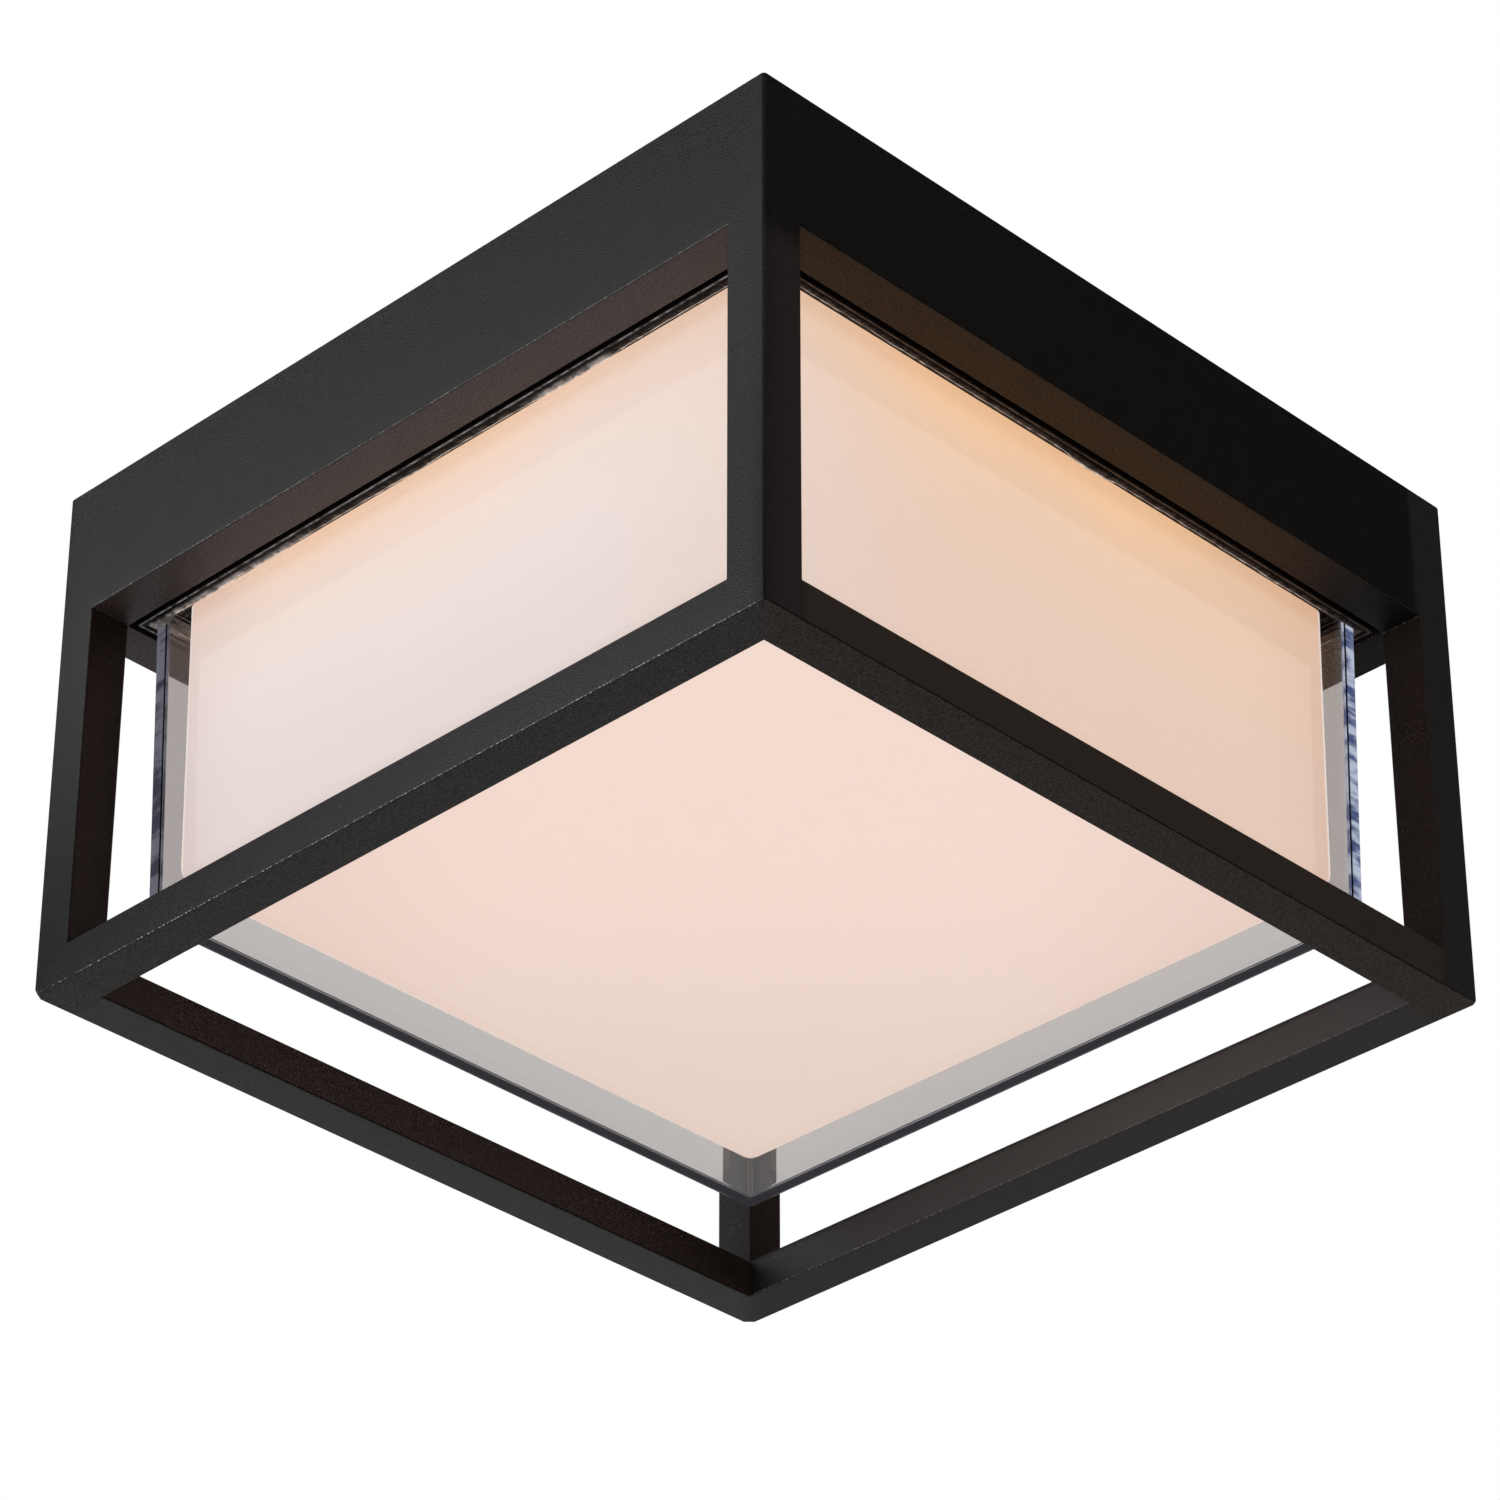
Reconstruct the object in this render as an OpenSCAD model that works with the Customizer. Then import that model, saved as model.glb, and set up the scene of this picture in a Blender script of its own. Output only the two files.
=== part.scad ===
// Square outdoor cage light for a ceiling or a wall.
// Mounting plane at z = 0 facing +Z, light below it towards -Z, all sizes in millimetres.

/* [Cage] */
// Width and depth of the square cage
width = 200; // [190:1:240]
// Height from the mounting plane to the underside of the end ring
height = 118; // [108:1:150]
// Height of the plain band at the mounting side
band_h = 31; // [30:0.5:40]
// Wall of the band
wall = 3; // [2.5:0.1:3.5]
// Width of the inward ledge, measured from the outer face
ledge_w = 9.6; // [8:0.1:11]
// Thickness of the ledge
ledge_t = 3.8; // [2.5:0.1:4]
// Side of the square posts
post_w = 9.5; // [8.5:0.1:12]
// Width of the end ring's bars, seen from below
ring_w = 9.6; // [8:0.1:12]
// Height of the end ring's bars
ring_h = 8.6; // [6:0.1:12]
// Radius of the cage's upright edges
edge_r = 0.8; // [0.5:0.1:3]

/* [Tray] */
// Thickness of the tray's plate
tray_t = 2.5; // [2.2:0.1:3.5]
// Play between the tray's plate and the band's wall
tray_play = 0.6; // [0.3:0.1:1]
// Gap between the ledge and the tray's rim
rim_gap = 1.2; // [1:0.1:2]
// Thickness of the rim
rim_t = 1.2; // [0.8:0.1:2]
// How far the rim reaches below the plate
rim_h = 3.6; // [2.4:0.1:4]
// Thickness of the rib between the two covers
rib_t = 1.2; // [0.8:0.1:1.4]
// How far the rib reaches below the plate
rib_h = 0.8; // [0.6:0.1:3]

/* [Covers] */
// Width of the silicone bead between rim and clear cover
bead_w = 1.4; // [0.8:0.1:2]
// Depth of the silicone bead
bead_h = 3.4; // [1:0.1:4]
// Wall of the clear cover
clear_wall = 2.2; // [1.8:0.1:3]
// Floor of the clear cover
clear_floor = 2.4; // [2:0.1:3.5]
// Draft of the clear cover's walls in degrees
clear_draft = 1.2; // [0.5:0.1:2]
// Radius of the clear cover's edges
clear_r = 1.2; // [0.8:0.1:2]
// Space between the clear cover and the plane of the end ring's top
clear_ring_space = 8.4; // [5:0.1:14]
// Space between the clear cover's wall and the opal one at the tray
cover_space = 2.8; // [1.8:0.1:3]
// Space between the two covers' floors
floor_space = 6.5; // [4:0.1:9]
// Wall of the opal cover
opal_wall = 2; // [1.6:0.1:2.5]
// Draft of the opal cover's walls in degrees
opal_draft = 0.7; // [0.5:0.1:2]
// Radius of the opal cover's edges
opal_r = 3; // [2.2:0.1:4]
// Diameter of the opal cover's screw bosses
boss_d = 8; // [7:0.1:9]
// Depth of the opal cover's screw bosses
boss_h = 14; // [12:0.5:18]

/* [Mounting plate] */
// Width of the mounting plate
plate_w = 110; // [100:1:120]
// Sheet thickness of the mounting plate
plate_t = 1.5; // [1.2:0.1:2]
// Depth of the plate's two ears
ear_h = 15; // [13:0.5:17]
// Inside radius of the plate's bends
bend_r = 1; // [0.5:0.1:2]
// Width of the slots for the mounting screws
slot_w = 5; // [4:0.1:6]
// Length of the slots from end to end
slot_len = 12; // [9:0.5:16]
// Distance between the two slots along X
slot_span_x = 84; // [72:1:88]
// Distance between the two slots along Y
slot_span_y = 124; // [100:1:130]
// Diameter of the dish round the cable hole
dish_d = 36; // [32:0.5:40]
// Depth of the dish
dish_depth = 2; // [1.8:0.1:3]
// Diameter of the cable hole in the plate
cable_hole_d = 22; // [18:0.5:24]
// Bore of the cable grommet
grommet_bore_d = 8; // [6:0.5:10]
// Thickness of each grommet flange
grommet_flange_t = 1.4; // [1:0.1:1.6]
// Width of each grommet flange round the cable hole
grommet_flange_w = 2.5; // [1.5:0.1:3]

/* [Clamp screws] */
// Diameter of the clamp screws
clamp_d = 5; // [4:0.5:6]
// Length of the clamp screws
clamp_len = 12; // [10:1:14]
// Distance between the two clamp screws
clamp_span = 80; // [60:1:90]
// Distance of the clamp screws from the lower edge of the ear
clamp_up = 6; // [4:0.5:8]
// How deep the clamp screws sit below the band's face
clamp_recess = 0.2; // [0.1:0.1:0.5]
// Diameter of the bosses that hold the clamp screws
clamp_boss_d = 10; // [9:0.5:12]
// Free space between the bosses and the ear
clamp_boss_space = 2.5; // [1:0.1:3]
// Width of the two pads that the other ear rests on
pad_w = 8; // [5:0.5:12]

/* [Light source] */
// Free space between the board and the opal cover's wall
board_space = 13.7; // [13.5:0.1:18]
// Thickness of the board
board_t = 1.6; // [1.2:0.1:2]
// Chips along each side of the board
chip_rows = 6; // [4:1:8]
// Side of one chip
chip_w = 3; // [2:0.1:3.5]
// Height of one chip
chip_h = 0.6; // [0.4:0.1:1]
// Distance of the outer chips from the board's edge
chip_edge = 16; // [14:0.5:20]
// Distance of the board's screws from its edge
board_screw_edge = 6; // [5:0.5:7]
// Width of the plug on the board
plug_w = 6; // [5:0.5:8]
// Length of the plug on the board
plug_len = 8; // [6:0.5:8]
// Height of the plug on the board
plug_h = 3.2; // [3:0.1:4]
// Diameter of the two leads to the board
led_lead_d = 1.6; // [1.2:0.1:1.8]
// Diameter of the hole for them in the tray
lead_hole_d = 8; // [7:0.1:9]
// Thickness of each flange of the lead grommet
lead_flange_t = 1.2; // [0.8:0.1:1.4]
// Width of each flange of the lead grommet round its hole
lead_flange_w = 1.2; // [0.8:0.1:1.6]

/* [Driver] */
// Length of the driver's tub
driver_len = 96; // [80:1:100]
// Width of the driver's tub
driver_w = 36; // [30:1:38]
// Height of the driver's tub
driver_h = 20; // [17:0.5:21]
// Wall of the driver's tub
driver_wall = 1.6; // [1.2:0.1:2.5]
// Depth of the rim that stands above the filling
driver_lip = 1; // [0.5:0.1:2]
// Length of each fixing tab
tab_len = 10; // [9:0.5:12]
// Thickness of each fixing tab
tab_t = 3; // [2:0.1:4]
// Free space between the tub and the plate's ear
driver_ear_space = 18; // [12:0.5:20]

/* [Terminal block] */
// Distance between the poles
pole_pitch = 10; // [9:0.1:11]
// Depth of the block along the wires
block_d = 18; // [16:0.5:20]
// Height of the block
block_h = 13; // [12:0.1:15]
// Length of each fixing foot
foot_len = 6.5; // [6:0.1:8]
// Thickness of each fixing foot
foot_t = 3; // [2:0.1:4]
// Outer diameter of the brass sleeves
sleeve_d = 5; // [4.6:0.1:5.4]
// Bore of the brass sleeves
sleeve_bore_d = 3; // [2.8:0.1:3.4]
// Diameter of the wire clamping screws
wire_screw_d = 2.6; // [2:0.1:2.8]
// Diameter of the mains leads
mains_lead_d = 2.2; // [1.8:0.1:2.4]

/* [Small screws] */
// Diameter of the small screws
screw_d = 3; // [2.5:0.1:3.2]
// Head diameter of the small screws
head_d = 5.5; // [5:0.1:5.8]
// Head height of the small screws
head_h = 2; // [1.6:0.1:2.4]
// Length of the screws that hold the tray in the cage
tray_screw_len = 10; // [8:0.5:14]
// Length of the screws that hold the opal cover
opal_screw_len = 10; // [8:0.5:12]
// Diameter of the earth screw
earth_screw_d = 4; // [3.5:0.1:5]

/* [Clearances] */
// Radial play of a screw in its hole
screw_play = 0.1; // [0.05:0.05:0.2]
// Gap between the mounting plate's ears and what they bear on
ear_play = 0.3; // [0.2:0.1:0.5]
// Gap between the silicone bead and the clear cover
seal_play = 0.05; // [0.02:0.01:0.1]
// Gap between a fixed part and a head, tip or edge near it
near_gap = 0.3; // [0.2:0.1:0.5]

/* [Hidden] */
$fn = 48;

// A cut runs this far past the faces that it goes through
past = 1;
// Faces of the tray, the board and the covers, as heights
half = width / 2;
tray_bottom = -(band_h - ledge_t);
tray_top = tray_bottom + tray_t;
board_bottom = tray_bottom - board_t;
ring_top = -(height - ring_h);
clear_bottom = ring_top + clear_ring_space;
opal_bottom = clear_bottom + clear_floor + floor_space;

// Half widths at the tray, from the outside inwards
rim_half = half - ledge_w - rim_gap;
clear_half = rim_half - rim_t - bead_w;
opal_half = clear_half - clear_wall - cover_space;
opal_inner_half = opal_half - opal_wall;
board_half = opal_inner_half - board_space;
board_corner_r = 2;
rib_half = opal_half + (cover_space + rib_t) / 2;
rim_inner_r = 0.4;

// Mounting plate and clamp screws
clamp_tip_y = half - clamp_recess - clamp_len;
plate_half = clamp_tip_y - ear_play;
clamp_z = -(ear_h - clamp_up);
clamp_boss_y = plate_half + clamp_boss_space;
pad_y = plate_half + ear_play;

// Places of the screws: the opal cover's bosses sink into its wall so that they join it
tray_screw_at = half - wall - head_d / 2 - 2 * near_gap;
boss_sink = 0.4;
boss_at = opal_inner_half - boss_d / 2 + boss_sink;
board_screw_at = board_half - board_screw_edge;

// Places of the lead grommet beside the board, and of the plug on it
lead_grommet_space = 1.8;
lead_x = -(board_half + lead_hole_d / 2 + lead_flange_w + lead_grommet_space);
plug_edge = 8;
plug_x = -(board_half - plug_edge);
chip_pitch = 2 * (board_half - chip_edge) / (chip_rows - 1);

// The driver stands left of the middle, so that the mains leads have room beside it
driver_x = -8;
driver_y = -(plate_half - plate_t - driver_ear_space - driver_w / 2);
driver_left = driver_x - driver_len / 2;
driver_right = driver_x + driver_len / 2;

// The terminal block on the tray, and the middle height of its sleeves
block_x = 30;
block_y = 42;
block_front = block_y - block_d / 2;
sleeve_up = 6;
sleeve_z = tray_top + sleeve_up;

// The earth screw with its ring terminal: ring, neck and crimped barrel
earth_x = 66;
earth_y = 18.6;
earth_head_w = 3;
earth_head_h = 2.6;
ring_margin = 2;
ring_terminal_t = 0.8;
ring_neck_w = 3.2;
washer_margin = 1.7;
washer_t = 0.6;
barrel_d = 3.6;
barrel_len = 5;
barrel_x = earth_x - 10;
barrel_z = tray_top + barrel_d / 2;

// Colours
COATING = "#2b2b2c";
ZINC = "#b9bcc0";
RUBBER = "#1c1c1c";
CLEAR = [0.82, 0.85, 0.88, 0.35];
OPAL = "#f0dccb";
BOARD = "#f2f2ee";
PHOSPHOR = "#f0d060";
TUB = "#e6e6e2";
FILLING = "#26282a";
NYLON = "#dfe3df";
BRASS = "#c9a24a";
STEEL = "#c4c6c8";
DARK_STEEL = "#2e2f31";

// Basic shapes

// Square with rounded corners, centred
module rounded_square(side, r) {
    square([side, side - 2 * r], center = true);
    square([side - 2 * r, side], center = true);
    for (x = [-1, 1], y = [-1, 1])
        translate([x * (side / 2 - r), y * (side / 2 - r)])
            circle(r = r);
}

// Square frame of two rounded squares between two heights
module square_frame(outer_half, inner_half, outer_r, inner_r, low, high) {
    translate([0, 0, low])
        linear_extrude(high - low)
            difference() {
                rounded_square(2 * outer_half, outer_r);
                rounded_square(2 * inner_half, inner_r);
            }
}

// Slice of a drafted box
module slice(side_half, r, z) {
    thin = 0.01;
    translate([0, 0, z])
        linear_extrude(thin)
            rounded_square(2 * side_half, r);
}

// Box with drafted walls and rounded floor edges, hanging from the height high down to the height low
module drafted_box(top_half, r, draft, low, high) {
    lean = tan(draft);
    hull() {
        slice(top_half, r, high - 0.01);
        for (a = [0:30:90])
            slice(top_half - lean * (high - low) - r * (1 - cos(a)), r * (0.3 + 0.7 * cos(a)),
                  low + r * (1 - sin(a)), $fn = 32);
    }
}

// The four corners of a square
module at_corners(d) {
    for (x = [-1, 1], y = [-1, 1])
        translate([x * d, y * d, 0])
            children();
}

// Screw with a cross slot: underside of the head at z = 0, shank downwards
module cross_screw(d, shank_len, top_d, top_h) {
    slot = top_d * 0.16;
    difference() {
        union() {
            translate([0, 0, -shank_len])
                cylinder(d = d, h = shank_len);
            cylinder(d = top_d, h = top_h * 0.55);
            translate([0, 0, top_h * 0.55])
                cylinder(d1 = top_d, d2 = top_d * 0.7, h = top_h * 0.45);
        }
        for (turn = [0, 90])
            rotate([0, 0, turn])
                translate([-top_d * 0.3, -slot / 2, top_h * 0.45])
                    cube([top_d * 0.6, slot, top_h]);
    }
}

// Round hole from the height low up to the height high
module hole(d, low, high) {
    translate([0, 0, low])
        cylinder(d = d, h = high - low);
}

// Grommet with a flange on each side of a sheet from low to high
module grommet(hole_d, bore_d, flange_t, flange_w, low, high) {
    neck_play = 0.1;
    difference() {
        union() {
            hole(hole_d - 2 * neck_play, low, high);
            hole(hole_d + 2 * flange_w, low - flange_t, low);
            hole(hole_d + 2 * flange_w, high, high + flange_t);
        }
        hole(bore_d, low - flange_t - past, high + flange_t + past);
    }
}

// Leads: a round tube along a smooth curve through chosen points

LEAD_SIDES = 8;
LEAD_STEPS = 4;

function unit(v) = v / norm(v);

// Point at the share t between p1 and p2 on a smooth curve through p0, p1, p2 and p3
function between(p0, p1, p2, p3, t) =
    0.5 * (2 * p1 + (p2 - p0) * t + (2 * p0 - 5 * p1 + 4 * p2 - p3) * t * t
           + (3 * p1 - p0 - 3 * p2 + p3) * t * t * t);

function curve(p) = [
    for (i = [0:len(p) - 2], k = [0:LEAD_STEPS - 1])
        between(p[max(i - 1, 0)], p[i], p[i + 1], p[min(i + 2, len(p) - 1)], k / LEAD_STEPS),
    p[len(p) - 1]
];

function direction(p, i) = unit(p[i + 1] - p[i - 1]);

// Directions of the rings: each end is square to its first or last straight stretch
function directions(points, path) = [
    unit(points[1] - points[0]),
    for (i = [1:len(path) - 2]) direction(path, i),
    unit(points[len(points) - 1] - points[len(points) - 2])
];

// Sideways directions that turn as little as possible along the curve
function square_to(v, d) = unit(v - (v * d) * d);
function sideways(along) = [
    for (i = 0, s = square_to([0.3, 0.5, 1], along[0]);
         i < len(along);
         i = i + 1, s = square_to(s, along[min(i, len(along) - 1)]))
        s
];

module lead(points, d) {
    path = curve(points);
    along = directions(points, path);
    sides = sideways(along);
    n = len(path);
    rings = [
        for (i = [0:n - 1], k = [0:LEAD_SIDES - 1])
            let (u = sides[i], w = cross(along[i], u), a = 360 * k / LEAD_SIDES)
                path[i] + d / 2 * (cos(a) * u + sin(a) * w)
    ];
    walls = [
        for (i = [0:n - 2], k = [0:LEAD_SIDES - 1])
            let (a = i * LEAD_SIDES + k, b = i * LEAD_SIDES + (k + 1) % LEAD_SIDES)
                [a, a + LEAD_SIDES, b + LEAD_SIDES, b]
    ];
    first = [for (k = [0:LEAD_SIDES - 1]) k];
    last = [for (k = [LEAD_SIDES - 1:-1:0]) (n - 1) * LEAD_SIDES + k];
    polyhedron(rings, concat([first], walls, [last]), convexity = 4);
}

// Mounting plate and its grommet

// Profile of the plate and its two ears, across the bends
module plate_profile() {
    turn_r = bend_r + plate_t;
    translate([-(plate_half - turn_r), -plate_t])
        square([2 * (plate_half - turn_r), plate_t]);
    for (side = [-1, 1])
        scale([side, 1])
            union() {
                translate([plate_half - plate_t, -ear_h])
                    square([plate_t, ear_h - turn_r]);
                translate([plate_half - turn_r, -turn_r])
                    difference() {
                        intersection() {
                            circle(r = turn_r);
                            square(turn_r);
                        }
                        circle(r = bend_r);
                    }
            }
}

// Slot centred on the origin, along X
module slot_hole() {
    run = slot_len - slot_w;
    translate([-run / 2, -slot_w / 2, -plate_t - past])
        cube([run, slot_w, plate_t + 2 * past]);
    for (x = [-1, 1])
        translate([x * run / 2, 0, 0])
            hole(slot_w, -plate_t - past, past);
}

module mounting_plate() {
    dish_out_d = dish_d + 2 * plate_t;
    color(ZINC)
        difference() {
            union() {
                rotate([90, 0, 90])
                    translate([0, 0, -plate_w / 2])
                        linear_extrude(plate_w)
                            plate_profile();
                hole(dish_out_d, -dish_depth - plate_t, 0);
            }
            hole(dish_d, -dish_depth, past);
            hole(cable_hole_d, -dish_depth - plate_t - past, past);
            for (side = [-1, 1]) {
                translate([side * slot_span_x / 2, 0, 0])
                    slot_hole();
                translate([0, side * slot_span_y / 2, 0])
                    rotate([0, 0, 90])
                        slot_hole();
            }
        }
}

module cable_grommet() {
    color(RUBBER)
        grommet(cable_hole_d, grommet_bore_d, grommet_flange_t, grommet_flange_w,
                -dish_depth - plate_t, -dish_depth);
}

// Cage

// The solid that fills one post's place, and the ring, band and ledge round the open middle
module cage_body() {
    open_half = half - ledge_w;
    ring_open = half - ring_w;
    window = 2 * (half - post_w);
    difference() {
        translate([0, 0, -height])
            linear_extrude(height)
                rounded_square(width, edge_r);
        translate([0, 0, tray_bottom])
            linear_extrude(past - tray_bottom)
                rounded_square(width - 2 * wall, edge_r);
        translate([-open_half, -open_half, -band_h - past])
            cube([2 * open_half, 2 * open_half, ledge_t + 2 * past]);
        translate([-ring_open, -ring_open, -height - past])
            cube([2 * ring_open, 2 * ring_open, ring_h + 2 * past]);
        for (turn = [0, 90])
            rotate([0, 0, turn])
                translate([-window / 2, -half - past, ring_top])
                    cube([window, width + 2 * past, -band_h - ring_top]);
    }
}

module cage_frame() {
    hole_depth = tray_screw_len - tray_t + past;
    color(COATING)
        difference() {
            union() {
                cage_body();
                for (x = [-1, 1]) {
                    translate([x * clamp_span / 2, clamp_boss_y, clamp_z])
                        rotate([-90, 0, 0])
                            cylinder(d = clamp_boss_d, h = half - wall / 2 - clamp_boss_y);
                    translate([x * clamp_span / 2 - pad_w / 2, -half + wall / 2, -ear_h])
                        cube([pad_w, half - wall / 2 - pad_y, ear_h - bend_r - plate_t]);
                }
            }
            for (x = [-1, 1])
                translate([x * clamp_span / 2, clamp_boss_y - past, clamp_z])
                    rotate([-90, 0, 0])
                        cylinder(d = clamp_d + 2 * screw_play, h = half - clamp_boss_y + 2 * past);
            at_corners(tray_screw_at)
                hole(screw_d + 2 * screw_play, tray_bottom - hole_depth, tray_bottom + past);
        }
}

// Tray and what holds it

module lamp_tray() {
    color(COATING)
        difference() {
            union() {
                translate([0, 0, tray_bottom])
                    linear_extrude(tray_t)
                        rounded_square(2 * (half - wall - tray_play), edge_r);
                square_frame(rim_half, rim_half - rim_t, edge_r, rim_inner_r,
                             tray_bottom - rim_h, tray_bottom);
                square_frame(rib_half, rib_half - rib_t, clear_r, clear_r,
                             tray_bottom - rib_h, tray_bottom);
            }
            at_corners(tray_screw_at)
                tray_hole(screw_d);
            at_corners(boss_at)
                tray_hole(screw_d);
            at_corners(board_screw_at)
                tray_hole(screw_d);
            translate([lead_x, 0, 0])
                hole(lead_hole_d, tray_bottom - past, tray_top + past);
            at_driver_tabs()
                tray_hole(screw_d);
            at_block_feet()
                tray_hole(screw_d);
            translate([earth_x, earth_y, 0])
                tray_hole(earth_screw_d);
        }
}

module tray_hole(d) {
    hole(d + 2 * screw_play, tray_bottom - past, tray_top + past);
}

module tray_screws() {
    color(STEEL)
        at_corners(tray_screw_at)
            translate([0, 0, tray_top])
                cross_screw(screw_d, tray_screw_len, head_d, head_h);
}

// Covers and their seal

module clear_cover() {
    color(CLEAR)
        difference() {
            drafted_box(clear_half, clear_r, clear_draft, clear_bottom, tray_bottom);
            drafted_box(clear_half - clear_wall, clear_r, clear_draft, clear_bottom + clear_floor,
                        tray_bottom + past);
        }
}

module cover_seal() {
    color(RUBBER)
        square_frame(rim_half - rim_t, clear_half + seal_play, rim_inner_r, clear_r,
                     tray_bottom - bead_h, tray_bottom);
}

module opal_diffuser() {
    opal_floor = opal_wall;
    hole_depth = opal_screw_len - tray_t + past;
    color(OPAL)
        difference() {
            union() {
                difference() {
                    drafted_box(opal_half, opal_r, opal_draft, opal_bottom, tray_bottom);
                    drafted_box(opal_inner_half, opal_r, opal_draft, opal_bottom + opal_floor,
                                tray_bottom + past);
                }
                at_corners(boss_at)
                    hole(boss_d, tray_bottom - boss_h, tray_bottom);
            }
            at_corners(boss_at)
                hole(screw_d + 2 * screw_play, tray_bottom - hole_depth, tray_bottom + past);
        }
}

module diffuser_screws() {
    color(STEEL)
        at_corners(boss_at)
            translate([0, 0, tray_top])
                cross_screw(screw_d, opal_screw_len, head_d, head_h);
}

// Light source

module led_board() {
    color(BOARD)
        difference() {
            translate([0, 0, board_bottom])
                linear_extrude(board_t)
                    rounded_square(2 * board_half, board_corner_r);
            at_corners(board_screw_at)
                hole(screw_d + 2 * screw_play, board_bottom - past, tray_bottom + past);
        }
}

module led_chips() {
    first = -(board_half - chip_edge);
    color(PHOSPHOR)
        for (i = [0:chip_rows - 1], j = [0:chip_rows - 1])
            translate([first + i * chip_pitch - chip_w / 2, first + j * chip_pitch - chip_w / 2,
                       board_bottom - chip_h])
                cube([chip_w, chip_w, chip_h]);
}

module led_board_screws() {
    color(STEEL)
        at_corners(board_screw_at)
            translate([0, 0, board_bottom])
                mirror([0, 0, 1])
                    cross_screw(screw_d, board_t + tray_t - near_gap, head_d, head_h);
}

module led_connector() {
    color(BOARD)
        translate([plug_x - plug_len / 2, -plug_w / 2, board_bottom - plug_h])
            cube([plug_len, plug_w, plug_h]);
}

module lead_grommet() {
    color(RUBBER)
        translate([lead_x, 0, 0])
            grommet(lead_hole_d, 2 * led_lead_d + 1, lead_flange_t, lead_flange_w, tray_bottom, tray_top);
}

// Route of a lead from the driver through the grommet to the plug: side is its place across the
// grommet, rise its height above the lower one
function led_route(side, rise) =
    let (y = side * (led_lead_d / 2 + 0.1), up = tray_top + 5 + rise, exit_y = driver_y + 8,
         low = board_bottom - plug_h / 2, x = lead_x)
    [
        [driver_left, exit_y, up + 6],
        [driver_left - 4, exit_y, up + 6],
        [driver_left - 12, exit_y + 3, up + 5],
        [x + 0.5, exit_y + 12, up + 3],
        [x, -16, up + 1],
        [x, y - 5, up],
        [x, y - 1.4, up - 1.4],
        [x, y, up - 4.4],
        [x, y, tray_bottom - 0.4],
        [x + 0.5, y, low + 0.9],
        [x + 2, y, low],
        [x + 6, y, low],
        [plug_x - plug_len / 2, y, low]
    ];

module led_lead_positive() {
    color("#b02a22")
        lead(led_route(1, 3), led_lead_d);
}

module led_lead_negative() {
    color("#1f1f20")
        lead(led_route(-1, 0), led_lead_d);
}

// Driver

module at_driver_tabs() {
    for (x = [driver_left - tab_len / 2, driver_right + tab_len / 2])
        translate([x, driver_y, 0])
            children();
}

module driver_case() {
    color(TUB)
        difference() {
            translate([driver_x, driver_y, tray_top])
                union() {
                    translate([-driver_len / 2, -driver_w / 2, 0])
                        cube([driver_len, driver_w, driver_h]);
                    translate([-driver_len / 2 - tab_len, -driver_w / 4, 0])
                        cube([driver_len + 2 * tab_len, driver_w / 2, tab_t]);
                }
            driver_inside(driver_h);
            at_driver_tabs()
                hole(screw_d + 2 * screw_play, tray_top - past, tray_top + tab_t + past);
        }
}

// The tub's inside, filled up to the given height above its floor
module driver_inside(fill_h) {
    translate([driver_left + driver_wall, driver_y - driver_w / 2 + driver_wall, tray_top + driver_wall])
        cube([driver_len - 2 * driver_wall, driver_w - 2 * driver_wall, fill_h]);
}

module driver_potting() {
    color(FILLING)
        driver_inside(driver_h - driver_wall - driver_lip);
}

module driver_screws() {
    color(STEEL)
        at_driver_tabs()
            translate([0, 0, tray_top + tab_t])
                cross_screw(screw_d, tab_t + tray_t - near_gap, head_d, head_h);
}

// Terminal block

block_w = 3 * pole_pitch;
// Wells in the block's top that the wire screws' heads sit in
well_d = 4;
well_depth = 3;
wire_head_h = 1.4;
wire_slot_w = 0.6;

module at_poles() {
    for (i = [-1:1])
        translate([block_x + i * pole_pitch, block_y, 0])
            children();
}

module at_wire_screws() {
    at_poles()
        for (y = [-1, 1])
            translate([0, y * block_d / 4, 0])
                children();
}

module at_block_feet() {
    for (x = [-1, 1])
        translate([block_x + x * (block_w + foot_len) / 2, block_y, 0])
            children();
}

module along_y(d, length) {
    translate([0, length / 2, 0])
        rotate([90, 0, 0])
            cylinder(d = d, h = length);
}

module terminal_block() {
    groove = 1.6;
    color(NYLON)
        difference() {
            translate([block_x, block_y, tray_top])
                union() {
                    translate([-block_w / 2, -block_d / 2, 0])
                        cube([block_w, block_d, block_h]);
                    translate([-block_w / 2 - foot_len, -block_d / 3, 0])
                        cube([block_w + 2 * foot_len, 2 * block_d / 3, foot_t]);
                }
            for (x = [-1, 1])
                translate([block_x + x * pole_pitch / 2 - groove / 2, block_y - block_d / 2 - past,
                           sleeve_z + sleeve_d / 2])
                    cube([groove, block_d + 2 * past, block_h]);
            at_poles()
                translate([0, 0, sleeve_z])
                    along_y(sleeve_d + 2 * screw_play, block_d + 2 * past);
            at_wire_screws() {
                hole(wire_screw_d + 2 * screw_play, sleeve_z, tray_top + block_h + past);
                hole(well_d, tray_top + block_h - well_depth, tray_top + block_h + past);
            }
            at_block_feet()
                hole(screw_d + 2 * screw_play, tray_top - past, tray_top + foot_t + past);
        }
}

module terminal_sleeves() {
    sleeve_len = block_d - 2;
    color(BRASS)
        difference() {
            at_poles()
                translate([0, 0, sleeve_z])
                    along_y(sleeve_d, sleeve_len);
            at_poles()
                translate([0, 0, sleeve_z])
                    along_y(sleeve_bore_d, block_d);
            at_wire_screws()
                hole(wire_screw_d + 2 * screw_play, sleeve_z, sleeve_z + sleeve_d);
        }
}

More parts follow.
